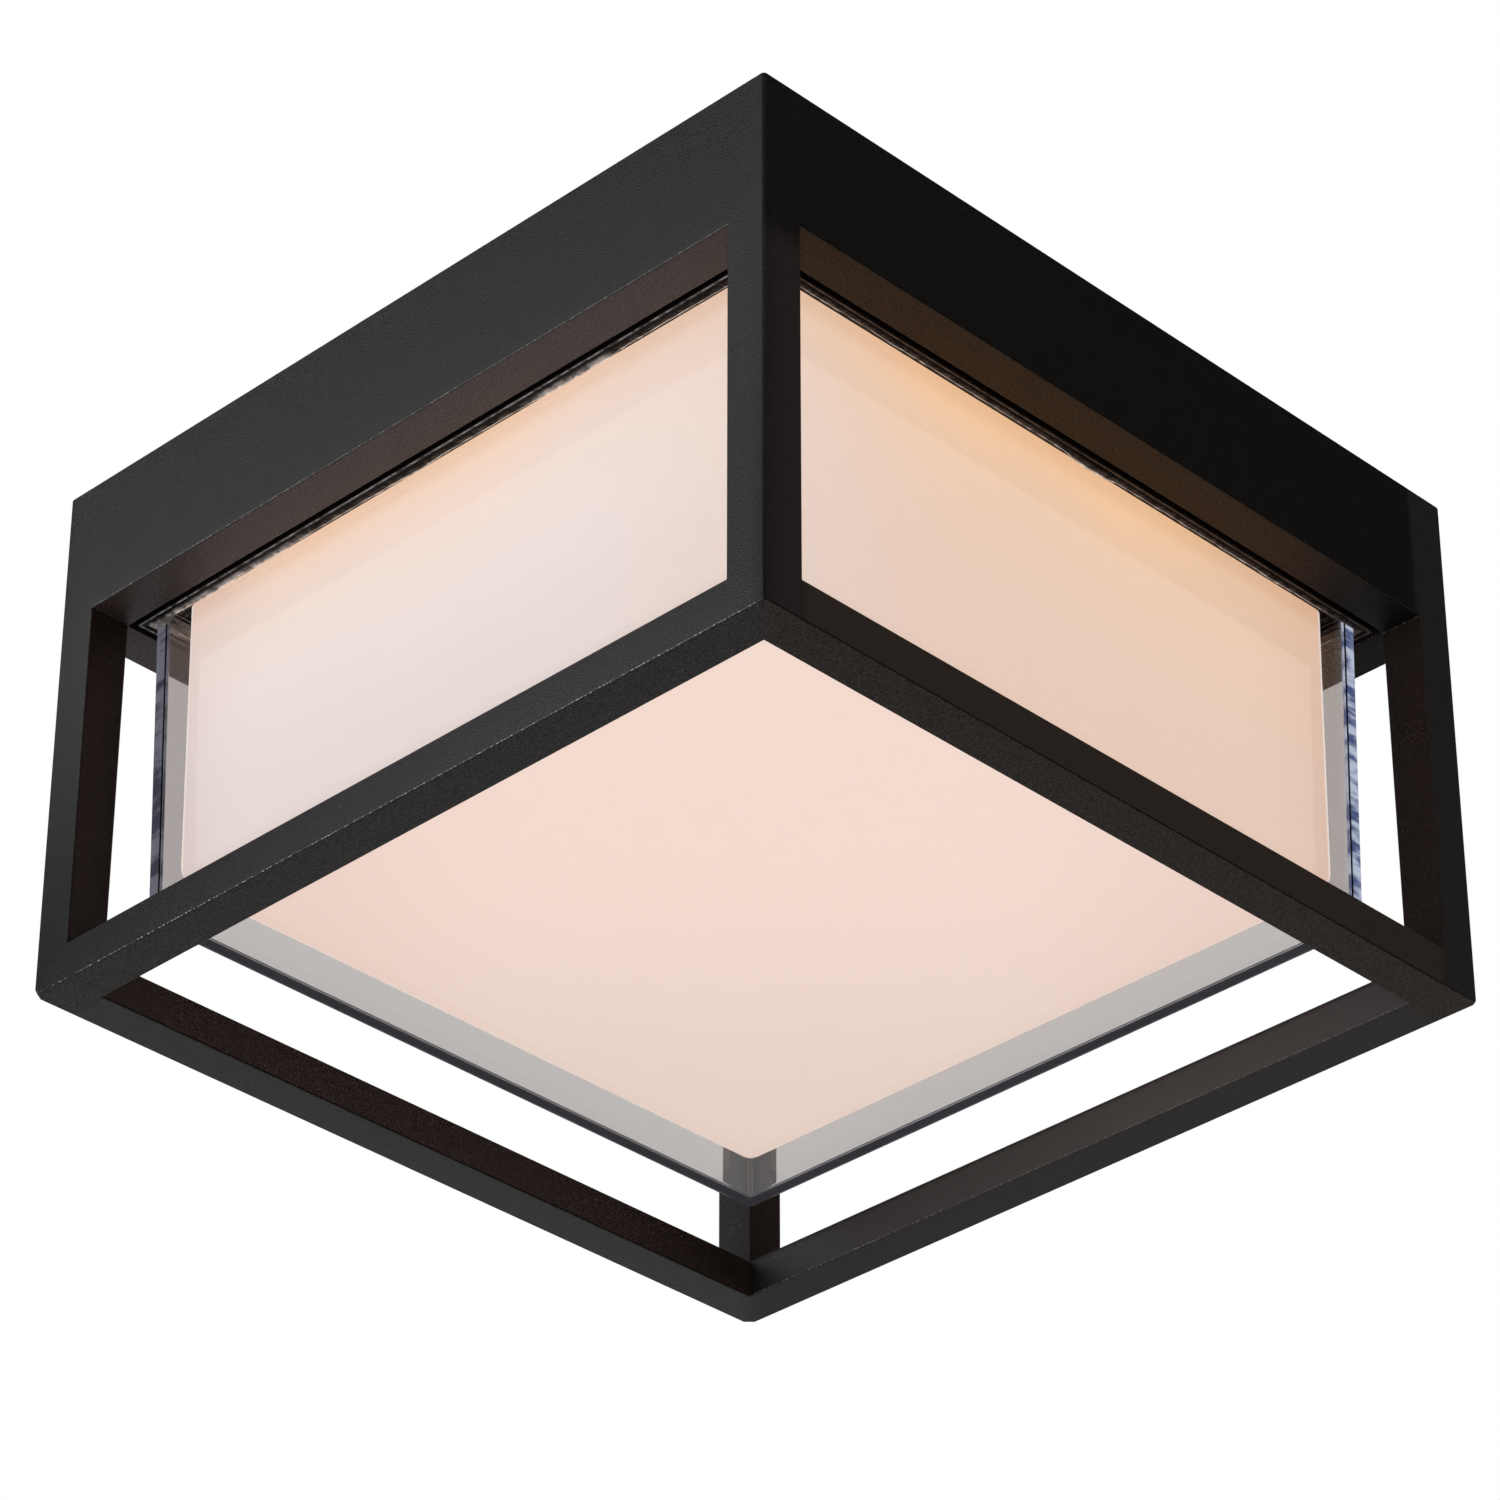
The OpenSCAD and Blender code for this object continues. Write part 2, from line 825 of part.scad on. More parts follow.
module terminal_screws() {
    seat = tray_top + block_h - well_depth;
    color(STEEL)
        at_wire_screws()
            difference() {
                union() {
                    hole(wire_screw_d, sleeve_z + near_gap, seat);
                    hole(well_d - 2 * screw_play, seat, seat + wire_head_h);
                }
                translate([-well_d, -wire_slot_w / 2, seat + wire_head_h / 2])
                    cube([2 * well_d, wire_slot_w, wire_head_h]);
            }
}

module terminal_fixing_screws() {
    color(STEEL)
        at_block_feet()
            translate([0, 0, tray_top + foot_t])
                cross_screw(screw_d, foot_t + tray_t - near_gap, head_d, head_h);
}

// Mains leads and earth

// How far a lead's end goes past the block's face
lead_in = 2.8;
// Distance between the two mains leads where they leave the driver
mains_exit_span = 8;
// How much nearer the middle the live lead runs than the neutral one
mains_inward = 5;

// Route from the driver's right face to one pole: inward is how much nearer the middle the lead runs
function mains_route(pole, exit, inward) =
    let (up = tray_top + driver_h * 0.67, x = block_x + pole * pole_pitch)
    [
        [driver_right, exit, up],
        [driver_right + 4.5, exit, up],
        [driver_right + 14 - inward, exit + 4, up - 1],
        [driver_right + 19 - inward * 1.6, exit + 14, up - 3],
        [driver_right + 17 - inward * 2.2, -20, sleeve_z + 1.5],
        [x + 14 - inward * 0.4, -3, sleeve_z - 0.5],
        [x + 3, 11, sleeve_z - 0.7],
        [x, block_front - 12, sleeve_z - 0.1],
        [x, block_front - 5, sleeve_z],
        [x, block_front + lead_in, sleeve_z]
    ];

module live_lead() {
    color("#5f3a24")
        lead(mains_route(-1, driver_y + mains_exit_span / 2, mains_inward), mains_lead_d);
}

module neutral_lead() {
    color("#2b5fb0")
        lead(mains_route(0, driver_y - mains_exit_span / 2, 0), mains_lead_d);
}

module earth_lead() {
    x = block_x + pole_pitch;
    color("#7fae2a")
        lead([
            [x, block_front + lead_in, sleeve_z],
            [x, block_front - 1, sleeve_z],
            [x, block_front - 5, sleeve_z - 0.2],
            [x + 1.6, block_front - 10, sleeve_z - 1.2],
            [x + 6, earth_y + 1.6, barrel_z + 1.2],
            [x + 11, earth_y, barrel_z + 0.1],
            [barrel_x - 3, earth_y, barrel_z],
            [barrel_x, earth_y, barrel_z]
        ], mains_lead_d);
}

module earth_ring_terminal() {
    color(STEEL)
        difference() {
            union() {
                translate([earth_x, earth_y, 0])
                    hole(earth_screw_d + 2 * ring_margin, tray_top, tray_top + ring_terminal_t);
                translate([barrel_x + barrel_len / 2, earth_y - ring_neck_w / 2, tray_top])
                    cube([earth_x - barrel_x - barrel_len / 2, ring_neck_w, ring_terminal_t]);
                translate([barrel_x, earth_y, barrel_z])
                    rotate([0, 90, 0])
                        cylinder(d = barrel_d, h = barrel_len);
            }
            translate([earth_x, earth_y, 0])
                hole(earth_screw_d + 2 * screw_play, tray_top - past, tray_top + ring_terminal_t + past);
        }
}

module earth_washer() {
    seat = tray_top + ring_terminal_t;
    color(ZINC)
        translate([earth_x, earth_y, 0])
            difference() {
                hole(earth_screw_d + 2 * washer_margin, seat, seat + washer_t);
                hole(earth_screw_d + 2 * screw_play, seat - past, seat + washer_t + past);
            }
}

module earth_screw() {
    seat = tray_top + ring_terminal_t + washer_t;
    color(BRASS)
        translate([earth_x, earth_y, seat])
            cross_screw(earth_screw_d, seat - tray_bottom - near_gap,
                        earth_screw_d + earth_head_w, earth_head_h);
}

// Clamp screws: cup point against the ear, hexagon socket at the band's face

module clamp_screw(side) {
    socket_w = clamp_d / 2;
    socket_depth = 3;
    point_len = 1;
    color(DARK_STEEL)
        translate([side * clamp_span / 2, clamp_tip_y, clamp_z])
            rotate([-90, 0, 0])
                difference() {
                    union() {
                        cylinder(d1 = clamp_d * 0.6, d2 = clamp_d, h = point_len);
                        translate([0, 0, point_len])
                            cylinder(d = clamp_d, h = clamp_len - point_len);
                    }
                    translate([0, 0, clamp_len - socket_depth])
                        cylinder(d = socket_w / cos(30), h = socket_depth + past, $fn = 6);
                }
}

module clamp_screw_left() {
    clamp_screw(-1);
}

module clamp_screw_right() {
    clamp_screw(1);
}

mounting_plate();
cable_grommet();
cage_frame();
lamp_tray();
tray_screws();
clear_cover();
cover_seal();
opal_diffuser();
diffuser_screws();
led_board();
led_chips();
led_board_screws();
led_connector();
lead_grommet();
led_lead_positive();
led_lead_negative();
driver_case();
driver_potting();
driver_screws();
terminal_block();
terminal_sleeves();
terminal_screws();
terminal_fixing_screws();
live_lead();
neutral_lead();
earth_lead();
earth_ring_terminal();
earth_washer();
earth_screw();
clamp_screw_left();
clamp_screw_right();
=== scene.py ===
import math

import bmesh
import bpy
from mathutils import Matrix, Vector, noise


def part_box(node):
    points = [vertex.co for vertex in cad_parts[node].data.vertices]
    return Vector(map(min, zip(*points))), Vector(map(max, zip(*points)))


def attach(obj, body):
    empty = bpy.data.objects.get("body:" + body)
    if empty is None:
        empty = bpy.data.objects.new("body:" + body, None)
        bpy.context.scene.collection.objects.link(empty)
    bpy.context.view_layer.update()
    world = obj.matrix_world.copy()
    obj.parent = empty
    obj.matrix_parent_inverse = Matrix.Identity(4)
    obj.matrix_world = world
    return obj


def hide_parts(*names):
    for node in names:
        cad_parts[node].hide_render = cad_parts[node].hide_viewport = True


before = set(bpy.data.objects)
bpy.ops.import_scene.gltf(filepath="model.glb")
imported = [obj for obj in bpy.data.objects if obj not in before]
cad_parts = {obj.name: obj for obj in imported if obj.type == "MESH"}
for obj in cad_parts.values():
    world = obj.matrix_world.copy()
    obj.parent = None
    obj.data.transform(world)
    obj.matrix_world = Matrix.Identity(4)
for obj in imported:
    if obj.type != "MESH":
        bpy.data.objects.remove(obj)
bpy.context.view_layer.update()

scene = bpy.context.scene
scene.view_settings.view_transform = "Standard"


# Viewpoint of the photograph: below the light, off its near corner, with a long lens.
# The place and the lens come from a fit of the cage's edges, and the picture is square.
FORWARD = Vector((-0.5918, 0.6035, 0.5344))
photo_lens = bpy.data.cameras.new("photo_lens")
photo_lens.lens = 137.4
photo_lens.sensor_width = 36
photo_lens.clip_start = 0.05
photo_lens.clip_end = 30
camera = bpy.data.objects.new("camera", photo_lens)
camera.location = (0.6806, -0.6958, -0.6754)
camera.rotation_euler = FORWARD.to_track_quat("-Z", "Y").to_euler()
scene.collection.objects.link(camera)
scene.camera = camera


# Mounting plate: zinc-plated sheet steel with two bent ears, four slots and a dish round the
# cable hole. It is punched and bent, and two screws through its slots hold it to the ceiling.
MM = 0.001


class Shade:
    """A socket in a material; sums and products of sockets and numbers add their Math nodes."""

    def __init__(self, tree, socket=None):
        self.tree = tree
        self.socket = socket

    def node(self, kind, settings, sockets, out=0):
        """Adds a node: its settings come first, then the values or links of its sockets."""
        made = self.tree.nodes.new(kind)
        for name, value in settings.items():
            setattr(made, name, value)
        for name, value in sockets.items():
            target = made.inputs[name]
            if isinstance(value, Shade):
                self.tree.links.new(value.socket, target)
            elif isinstance(value, tuple) and len(value) == 3 and target.type == "RGBA":
                target.default_value = (*value, 1)
            else:
                target.default_value = value
        return Shade(self.tree, made.outputs[out] if made.outputs else None)

    def maths(self, operation, first, second=0.0, clamp=False):
        settings = {"operation": operation, "use_clamp": clamp}
        return self.node("ShaderNodeMath", settings, {0: first, 1: second})

    def __add__(self, other):
        return self.maths("ADD", self, other)

    __radd__ = __add__

    def __sub__(self, other):
        return self.maths("SUBTRACT", self, other)

    def __rsub__(self, other):
        return self.maths("SUBTRACT", other, self)

    def __mul__(self, other):
        return self.maths("MULTIPLY", self, other)

    __rmul__ = __mul__

    def __pow__(self, other):
        return self.maths("POWER", self, other)

    def clamped(self):
        return self.maths("ADD", self, 0.0, clamp=True)

    def magnitude(self):
        return self.maths("ABSOLUTE", self)

    def larger(self, other):
        return self.maths("MAXIMUM", self, other)

    def smaller(self, other):
        return self.maths("MINIMUM", self, other)

    def between(self, low, high):
        """0 below low and 1 above high, with a soft step between them."""
        return self.node("ShaderNodeMapRange", {"interpolation_type": "SMOOTHSTEP"},
                         {"Value": self, "From Min": low, "From Max": high})


def start_finish(name):
    """A new material: its Shade, and the surface point in metres that its patterns read."""
    material = bpy.data.materials.new(name)
    material.use_nodes = True
    material.node_tree.nodes.clear()
    paint = Shade(material.node_tree)
    place = paint.node("ShaderNodeTexCoord", {}, {}, out="Object")
    return material, paint, place


def grain(paint, place, scale, detail=2.0, roughness=0.5, stretch=(1, 1, 1)):
    """Noise from 0 to 1 whose lumps are about 1 / scale metres wide."""
    if stretch != (1, 1, 1):
        place = paint.node("ShaderNodeMapping", {}, {"Vector": place, "Scale": stretch})
    return paint.node("ShaderNodeTexNoise", {},
                      {"Vector": place, "Scale": scale, "Detail": detail, "Roughness": roughness})


def tint(paint, share, first, second, blend="MIX"):
    """Colour between two others: share 0 gives the first, 1 the second."""
    return paint.node("ShaderNodeMix", {"data_type": "RGBA", "blend_type": blend},
                      {0: share, 6: first, 7: second}, out=2)


def layer(paint, height=None, depth=0.0, **sockets):
    """A Principled shader; depth in metres turns height into a Bump."""
    wanted = {name.replace("_", " "): value for name, value in sockets.items()}
    if height is not None:
        wanted["Normal"] = paint.node("ShaderNodeBump", {}, {"Height": height, "Distance": depth,
                                                             "Strength": 1.0})
    return paint.node("ShaderNodeBsdfPrincipled", {}, wanted)


def coat(paint, height=None, depth=0.0, **sockets):
    """Ends a material in one Principled shader."""
    shader = layer(paint, height, depth, **sockets)
    paint.node("ShaderNodeOutputMaterial", {}, {"Surface": shader})


def from_cad(*nodes):
    """A clean copy of these nodes' solids, in millimetres, with its flat faces joined."""
    shape = bmesh.new()
    for node in nodes:
        shape.from_mesh(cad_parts[node].data)
    bmesh.ops.scale(shape, vec=(1000, 1000, 1000), verts=shape.verts)
    bmesh.ops.remove_doubles(shape, verts=shape.verts, dist=0.002)
    bmesh.ops.dissolve_limit(shape, angle_limit=math.radians(1), verts=shape.verts,
                             edges=shape.edges)
    return shape


def soften(shape, width, segments=2, above=35, edges=None):
    """Rounds the edges whose faces meet at more than the given degrees."""
    sharp = [edge for edge in (edges or shape.edges)
             if len(edge.link_faces) == 2 and edge.calc_face_angle() > math.radians(above)]
    bmesh.ops.bevel(shape, geom=sharp, offset=width, offset_type="OFFSET", affect="EDGES",
                    segments=segments, profile=0.5, material=-1, clamp_overlap=True)


def finish_piece(name, shape, body, materials, nodes=(), sharp=40):
    """Makes a mesh in metres from the shape: a piece that rides on its body."""
    bmesh.ops.scale(shape, vec=(MM, MM, MM), verts=shape.verts)
    mesh = bpy.data.meshes.new(name)
    shape.to_mesh(mesh)
    shape.free()
    for material in materials:
        mesh.materials.append(material)
    mesh.shade_smooth()
    mesh.set_sharp_from_angle(angle=math.radians(sharp))
    piece = bpy.data.objects.new(name, mesh)
    scene.collection.objects.link(piece)
    level = piece.modifiers.new("flat faces stay flat", "WEIGHTED_NORMAL")
    level.keep_sharp = True
    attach(piece, body)
    if nodes:
        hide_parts(*nodes)
    return piece


def dress(node, material):
    """Gives a CAD node that stays a better material."""
    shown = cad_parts[node]
    for place in shown.material_slots:
        place.material = material


zinc, paint, place = start_finish("zinc plating")
rolled = grain(paint, place, 900, 3, stretch=(0.06, 1, 1))
cloud = grain(paint, place, 35, 3)
coat(paint, rolled, 0.00002,
     Base_Color=tint(paint, cloud, (0.50, 0.53, 0.56), (0.66, 0.67, 0.66)),
     Metallic=1.0, Roughness=0.46 + 0.14 * rolled + 0.12 * cloud)

SHEET_EDGE_R = 0.25
plate = from_cad("mounting_plate")
soften(plate, SHEET_EDGE_R)
finish_piece("ceiling_plate", plate, "plate", [zinc], ["mounting_plate"])


# Cable grommet: a moulded rubber ring in the plate's dish that keeps the sheet's edge off the
# supply cable. It is pushed in by hand, and its two flanges hold it.
rubber, paint, place = start_finish("black rubber")
bloom = grain(paint, place, 120, 4)
coat(paint, grain(paint, place, 2500, 2), 0.00003,
     Base_Color=tint(paint, bloom, (0.011, 0.011, 0.012), (0.026, 0.026, 0.027)),
     Roughness=0.62 + 0.2 * bloom, Specular_IOR_Level=0.4)

ring = from_cad("cable_grommet")
soften(ring, 0.35, 3)
finish_piece("supply_cable_grommet", ring, "plate", [rubber], ["cable_grommet"])


# Cage: one die-cast aluminium piece of band, ledge, four square posts and end ring, with a
# fine-textured black powder coating that carries painted light and shade, with a painted
# highlight along some of its edges. The two clamp screws sit in bosses on its back wall, and
# two pads on its front wall bear on the plate's other ear.
def box_in_mm(node):
    """A CAD node's lowest and highest corners at rest, in millimetres."""
    return [[round(value / MM, 3) for value in corner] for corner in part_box(node)]


cage_low, cage_high = box_in_mm("cage_frame")
screw_low, screw_high = box_in_mm("clamp_screw_right")
HALF = cage_high[0]
HEIGHT = -cage_low[2]
POST = 9.6
WALL = 3.0
RING_TOP = -109.4
BAND_LOW = -31.0
LEDGE_TOP = -27.2
CORNER_R = 0.8
EDGE_R = 0.35
GROUND_CORNERS = ((-1, -1, 1.4), (-1, 1, 1.4), (1, 1, 0.9))
CLAMP_X = (screw_low[0] + screw_high[0]) / 2
CLAMP_Z = (screw_low[2] + screw_high[2]) / 2
BOSS_R = 5.0
BOSS_END = 90.0
BOSS_ROOM = 7.0
BORE_R = 2.6
RIM_CUTS = 5
PAD_Z = -8.75
PAD_REACH = (4.0, 6.25)
PAD_DEPTH = 9.2
FINE_EDGE_R = 0.25
NEAR = 0.01


def box_between(shape, low, high):
    """A box between two corners, in millimetres."""
    low, high = Vector(low), Vector(high)
    made = bmesh.ops.create_cube(shape, size=1)["verts"]
    bmesh.ops.scale(shape, vec=high - low, verts=made)
    bmesh.ops.translate(shape, vec=(low + high) / 2, verts=made)
    return made


def once_each(items):
    """The items in the order they come, without repeats."""
    return list(dict.fromkeys(items))


def cut(shape, faces, point, normal):
    """Cuts only these faces along a plane, and gives them and their parts back."""
    around = once_each(edge for face in faces for edge in face.edges)
    corners = once_each(vert for face in faces for vert in face.verts)
    made = bmesh.ops.bisect_plane(shape, geom=[*faces, *around, *corners], dist=0.0001,
                                  plane_co=point, plane_no=normal)
    return [item for item in made["geom"] if isinstance(item, bmesh.types.BMFace)]


def bridge(shape, *loops):
    """Joins loops of edges with faces, one after the other."""
    for first, second in zip(loops, loops[1:]):
        bmesh.ops.bridge_loops(shape, edges=[*first, *second])


def faces_where(shape, test):
    """The faces whose middle and normal pass the test."""
    return [face for face in shape.faces if test(face.calc_center_median(), face.normal)]


def push_out(shape, faces, way):
    """Extrudes these faces and moves the new ones by a vector."""
    made = bmesh.ops.extrude_face_region(shape, geom=faces)["geom"]
    bmesh.ops.delete(shape, geom=faces, context="FACES")
    bmesh.ops.translate(shape, vec=way,
                        verts=[item for item in made if isinstance(item, bmesh.types.BMVert)])


cage = bmesh.new()
for x in (-1, 1):
    for y in (-1, 1):
        inner = Vector((x, y)) * (HALF - POST)
        outer = Vector((x, y)) * HALF
        box_between(cage, (min(inner.x, outer.x), min(inner.y, outer.y), -HEIGHT),
                    (max(inner.x, outer.x), max(inner.y, outer.y), LEDGE_TOP))
for z in (RING_TOP, BAND_LOW):
    cut(cage, cage.faces[:], (0, 0, z), (0, 0, 1))
for low, high in ((-HEIGHT, RING_TOP), (BAND_LOW, LEDGE_TOP)):
    for axis in (0, 1):
        for side in (-1, 1):
            ends = faces_where(cage, lambda centre, normal: low < centre.z < high
                               and abs(normal[axis]) > 0.9 and normal[axis] * centre[axis] < 0
                               and centre[1 - axis] * side > 0)
            rims = [list(end.edges) for end in ends]
            bmesh.ops.delete(cage, geom=ends, context="FACES_ONLY")
            bridge(cage, *rims)
ledge = faces_where(cage, lambda centre, normal: normal.z > 0.9
                    and abs(centre.z - LEDGE_TOP) < NEAR)
for axis in (0, 1):
    for side in (-1, 1):
        point = [0, 0, 0]
        point[axis] = side * (HALF - WALL)
        normal = [0, 0, 0]
        normal[axis] = 1
        ledge = cut(cage, ledge, point, normal)
foot = [face for face in ledge
        if max(abs(face.calc_center_median().x), abs(face.calc_center_median().y)) > HALF - WALL]
push_out(cage, foot, (0, 0, -LEDGE_TOP))
bmesh.ops.recalc_face_normals(cage, faces=cage.faces)
upright = [edge for edge in cage.edges
           if any(all(abs(abs(vert.co.x) - at) < NEAR and abs(abs(vert.co.y) - at) < NEAR
                      for vert in edge.verts) for at in (HALF, HALF - WALL))]
soften(cage, CORNER_R, 3, edges=upright)
soften(cage, EDGE_R, 2)

# Three outer corners of the ring are ground round, each by four flat cuts
for x, y, ground_r in GROUND_CORNERS:
    tip = Vector((x * HALF, y * HALF, -HEIGHT))
    for share in ((1, 1, 1), (2, 1, 1), (1, 2, 1), (1, 1, 2)):
        slope = Vector(share).normalized()
        depth = ground_r * (slope.x + slope.y + slope.z - 1)
        slope = Vector((x * slope.x, y * slope.y, -slope.z))
        made = bmesh.ops.bisect_plane(cage, geom=[*cage.verts, *cage.edges, *cage.faces],
                                      dist=0.0001, plane_co=tip - slope * depth, plane_no=slope,
                                      clear_outer=True)
        rim = [item for item in made["geom_cut"] if isinstance(item, bmesh.types.BMEdge)]
        bmesh.ops.edgenet_fill(cage, edges=rim)


def patch(shape, on_wall, x, z, reach_x, reach_z):
    """Cuts a rectangle out of the faces across Y that on_wall picks, and gives it back."""
    faces = faces_where(shape, on_wall)
    for point, normal in (((x - reach_x, 0, 0), (1, 0, 0)), ((x + reach_x, 0, 0), (1, 0, 0)),
                          ((0, 0, z - reach_z), (0, 0, 1)), ((0, 0, z + reach_z), (0, 0, 1))):
        faces = cut(shape, faces, point, normal)
    return [face for face in faces if abs(face.calc_center_median().x - x) < reach_x
            and abs(face.calc_center_median().z - z) < reach_z]


def opened(shape, faces, cuts):
    """Deletes a rectangle's face and gives back its rim, cut into short edges."""
    rim = list(faces[0].edges)
    bmesh.ops.delete(shape, geom=faces, context="FACES_ONLY")
    made = bmesh.ops.subdivide_edges(shape, edges=rim, cuts=cuts)
    return [item for item in made["geom"] if isinstance(item, bmesh.types.BMEdge)]


def circle_at(shape, radius, x, y, z, sides=24):
    """A circle in a plane across Y, as edges."""
    turn = Matrix.Translation((x, y, z)) @ Matrix.Rotation(math.pi / 2, 4, "X")
    made = bmesh.ops.create_circle(shape, segments=sides, radius=radius, matrix=turn)["verts"]
    return once_each(edge for vert in made for edge in vert.link_edges)


for x in (-CLAMP_X, CLAMP_X):
    outside = patch(cage, lambda centre, normal: normal.y > 0.99 and centre.y > HALF - 0.1,
                    x, CLAMP_Z, BOSS_ROOM, BOSS_ROOM)
    face_rim = opened(cage, outside, RIM_CUTS)
    inside = patch(cage, lambda centre, normal: normal.y < -0.99
                   and abs(centre.y - HALF + WALL) < 0.1 and centre.z > LEDGE_TOP,
                   x, CLAMP_Z, BOSS_ROOM, BOSS_ROOM)
    wall_rim = opened(cage, inside, RIM_CUTS)
    mouth = circle_at(cage, BORE_R, x, HALF, CLAMP_Z)
    bore_end = circle_at(cage, BORE_R, x, BOSS_END, CLAMP_Z)
    boss_end = circle_at(cage, BOSS_R, x, BOSS_END, CLAMP_Z)
    boss_foot = circle_at(cage, BOSS_R, x, HALF - WALL, CLAMP_Z)
    bridge(cage, face_rim, mouth, bore_end, boss_end, boss_foot, wall_rim)
    pad = patch(cage, lambda centre, normal: normal.y > 0.99
                and abs(centre.y + HALF - WALL) < 0.1 and centre.z > LEDGE_TOP,
                x, PAD_Z, *PAD_REACH)
    push_out(cage, pad, (0, PAD_DEPTH, 0))
bmesh.ops.recalc_face_normals(cage, faces=cage.faces)
boss_and_pad = [edge for edge in cage.edges
                if all(abs(abs(vert.co.x) - CLAMP_X) < BOSS_R + 0.5
                       and abs(vert.co.z - CLAMP_Z) < PAD_REACH[1] + 0.25
                       for vert in edge.verts)]
soften(cage, FINE_EDGE_R, 2, edges=boss_and_pad)


# Steps in metres, between which the coating's painted light and shade change on the cage
MEMBERS_FROM = (0.0885, 0.0905)
LEDGE_Z = (-0.040, -0.034)
FRONT_Z = (-0.118, -0.035)
LEFT_POST_X = (-0.095, -0.085)
FAR_INSIDE_Y = (0.080, 0.090)
FAR_POST_Z = (-0.111, -0.109)
HALVES_MEET = (-0.006, 0.006)


def split(paint, vector):
    """The three parts of a vector, each a socket of its own."""
    first = paint.node("ShaderNodeSeparateXYZ", {}, {"Vector": vector})
    return {axis: Shade(paint.tree, first.socket.node.outputs[axis]) for axis in "XYZ"}


class CoatingPlaces:
    """Shares from 0 to 1 of the places on the cage that its coating treats apart.

    On the right and back half the tone is a little browner: painted shade. Some sides have more
    sheen, and some places carry painted light, others painted shade.
    """

    def __init__(self, paint, place):
        at = split(paint, place)
        facing = split(paint, paint.node("ShaderNodeNewGeometry", {}, {}, out="Normal"))
        self.at = at
        # The right and back half, on which a browner tone is painted as shade
        self.painted_shade_half = (at["X"] + at["Y"]).between(*HALVES_MEET)
        self.facing_right = facing["X"].between(0.4, 0.6)
        self.facing_front = 1 - facing["Y"].between(-0.6, -0.4)
        self.underside = 1 - facing["Z"].between(-0.95, -0.85)
        self.ledge = self.underside * at["Z"].between(*LEDGE_Z)
        self.front_member = (0 - at["Y"]).between(*MEMBERS_FROM)
        self.near_member = self.front_member.larger(at["X"].between(*MEMBERS_FROM))
        self.far_member = at["Y"].between(*MEMBERS_FROM)
        self.near_underside = self.underside * (1 - self.ledge) * self.near_member
        self.low_front = (self.facing_front * self.front_member
                          * (1 - at["Z"].between(*FRONT_Z)))
        self.inner_left = self.facing_right * (1 - at["X"].between(*LEFT_POST_X))
        self.far_inside = self.facing_front * at["Y"].between(*FAR_INSIDE_Y)
        self.far_post = self.far_inside * at["Z"].between(*FAR_POST_Z)
        rounded_edge = facing["Z"].between(-0.66, -0.60) * (1 - facing["Z"].between(-0.14, -0.08))
        # Painted highlight: a dotted pale line on the lower rounded edges that face front, on the
        # left and front half and at the back
        highlighted = at["Y"].between(0.080, 0.085).larger(1 - self.painted_shade_half)
        highlighted = highlighted * grain(paint, place, 1700, 2, 0.5).between(0.50, 0.62)
        self.painted_edge_highlight = rounded_edge * (1 - facing["Y"].between(-0.6, -0.5)) * highlighted
        # Painted shade: a near black line on the lower rounded edges that face right
        self.right_edge_painted_shade = rounded_edge * facing["X"].between(0.3, 0.5)


def grey_half(paint, on, mottle, speckle):
    """Colour of the coating on the left and front half of the cage, with painted light on its
    ledge, undersides and low front faces.
    """
    colour = tint(paint, mottle, (0.0060, 0.0054, 0.0053), (0.0130, 0.0118, 0.0117))
    # Painted light: the opal cover's glow on the ledge's underside
    ledge = tint(paint, speckle, (0.022, 0.013, 0.012), (0.094, 0.064, 0.062))
    colour = tint(paint, on.ledge, colour, ledge)
    # Painted light: the undersides of the near members, lit from below
    underside = tint(paint, speckle, (0.022, 0.019, 0.018), (0.072, 0.064, 0.062))
    colour = tint(paint, on.near_underside, colour, underside)
    # Painted light: the low front faces of the ring and near post are lighter, more so to the
    # right
    low_front_painted_light_left = tint(paint, speckle, (0.010, 0.010, 0.011), (0.019, 0.019, 0.021))
    low_front_painted_light_right = tint(paint, speckle, (0.029, 0.028, 0.029), (0.050, 0.048, 0.049))
    painted_light_and_thin_bead = tint(paint, on.at["X"].between(-0.14, 0.06), low_front_painted_light_left, low_front_painted_light_right)
    return tint(paint, on.low_front, colour, painted_light_and_thin_bead)


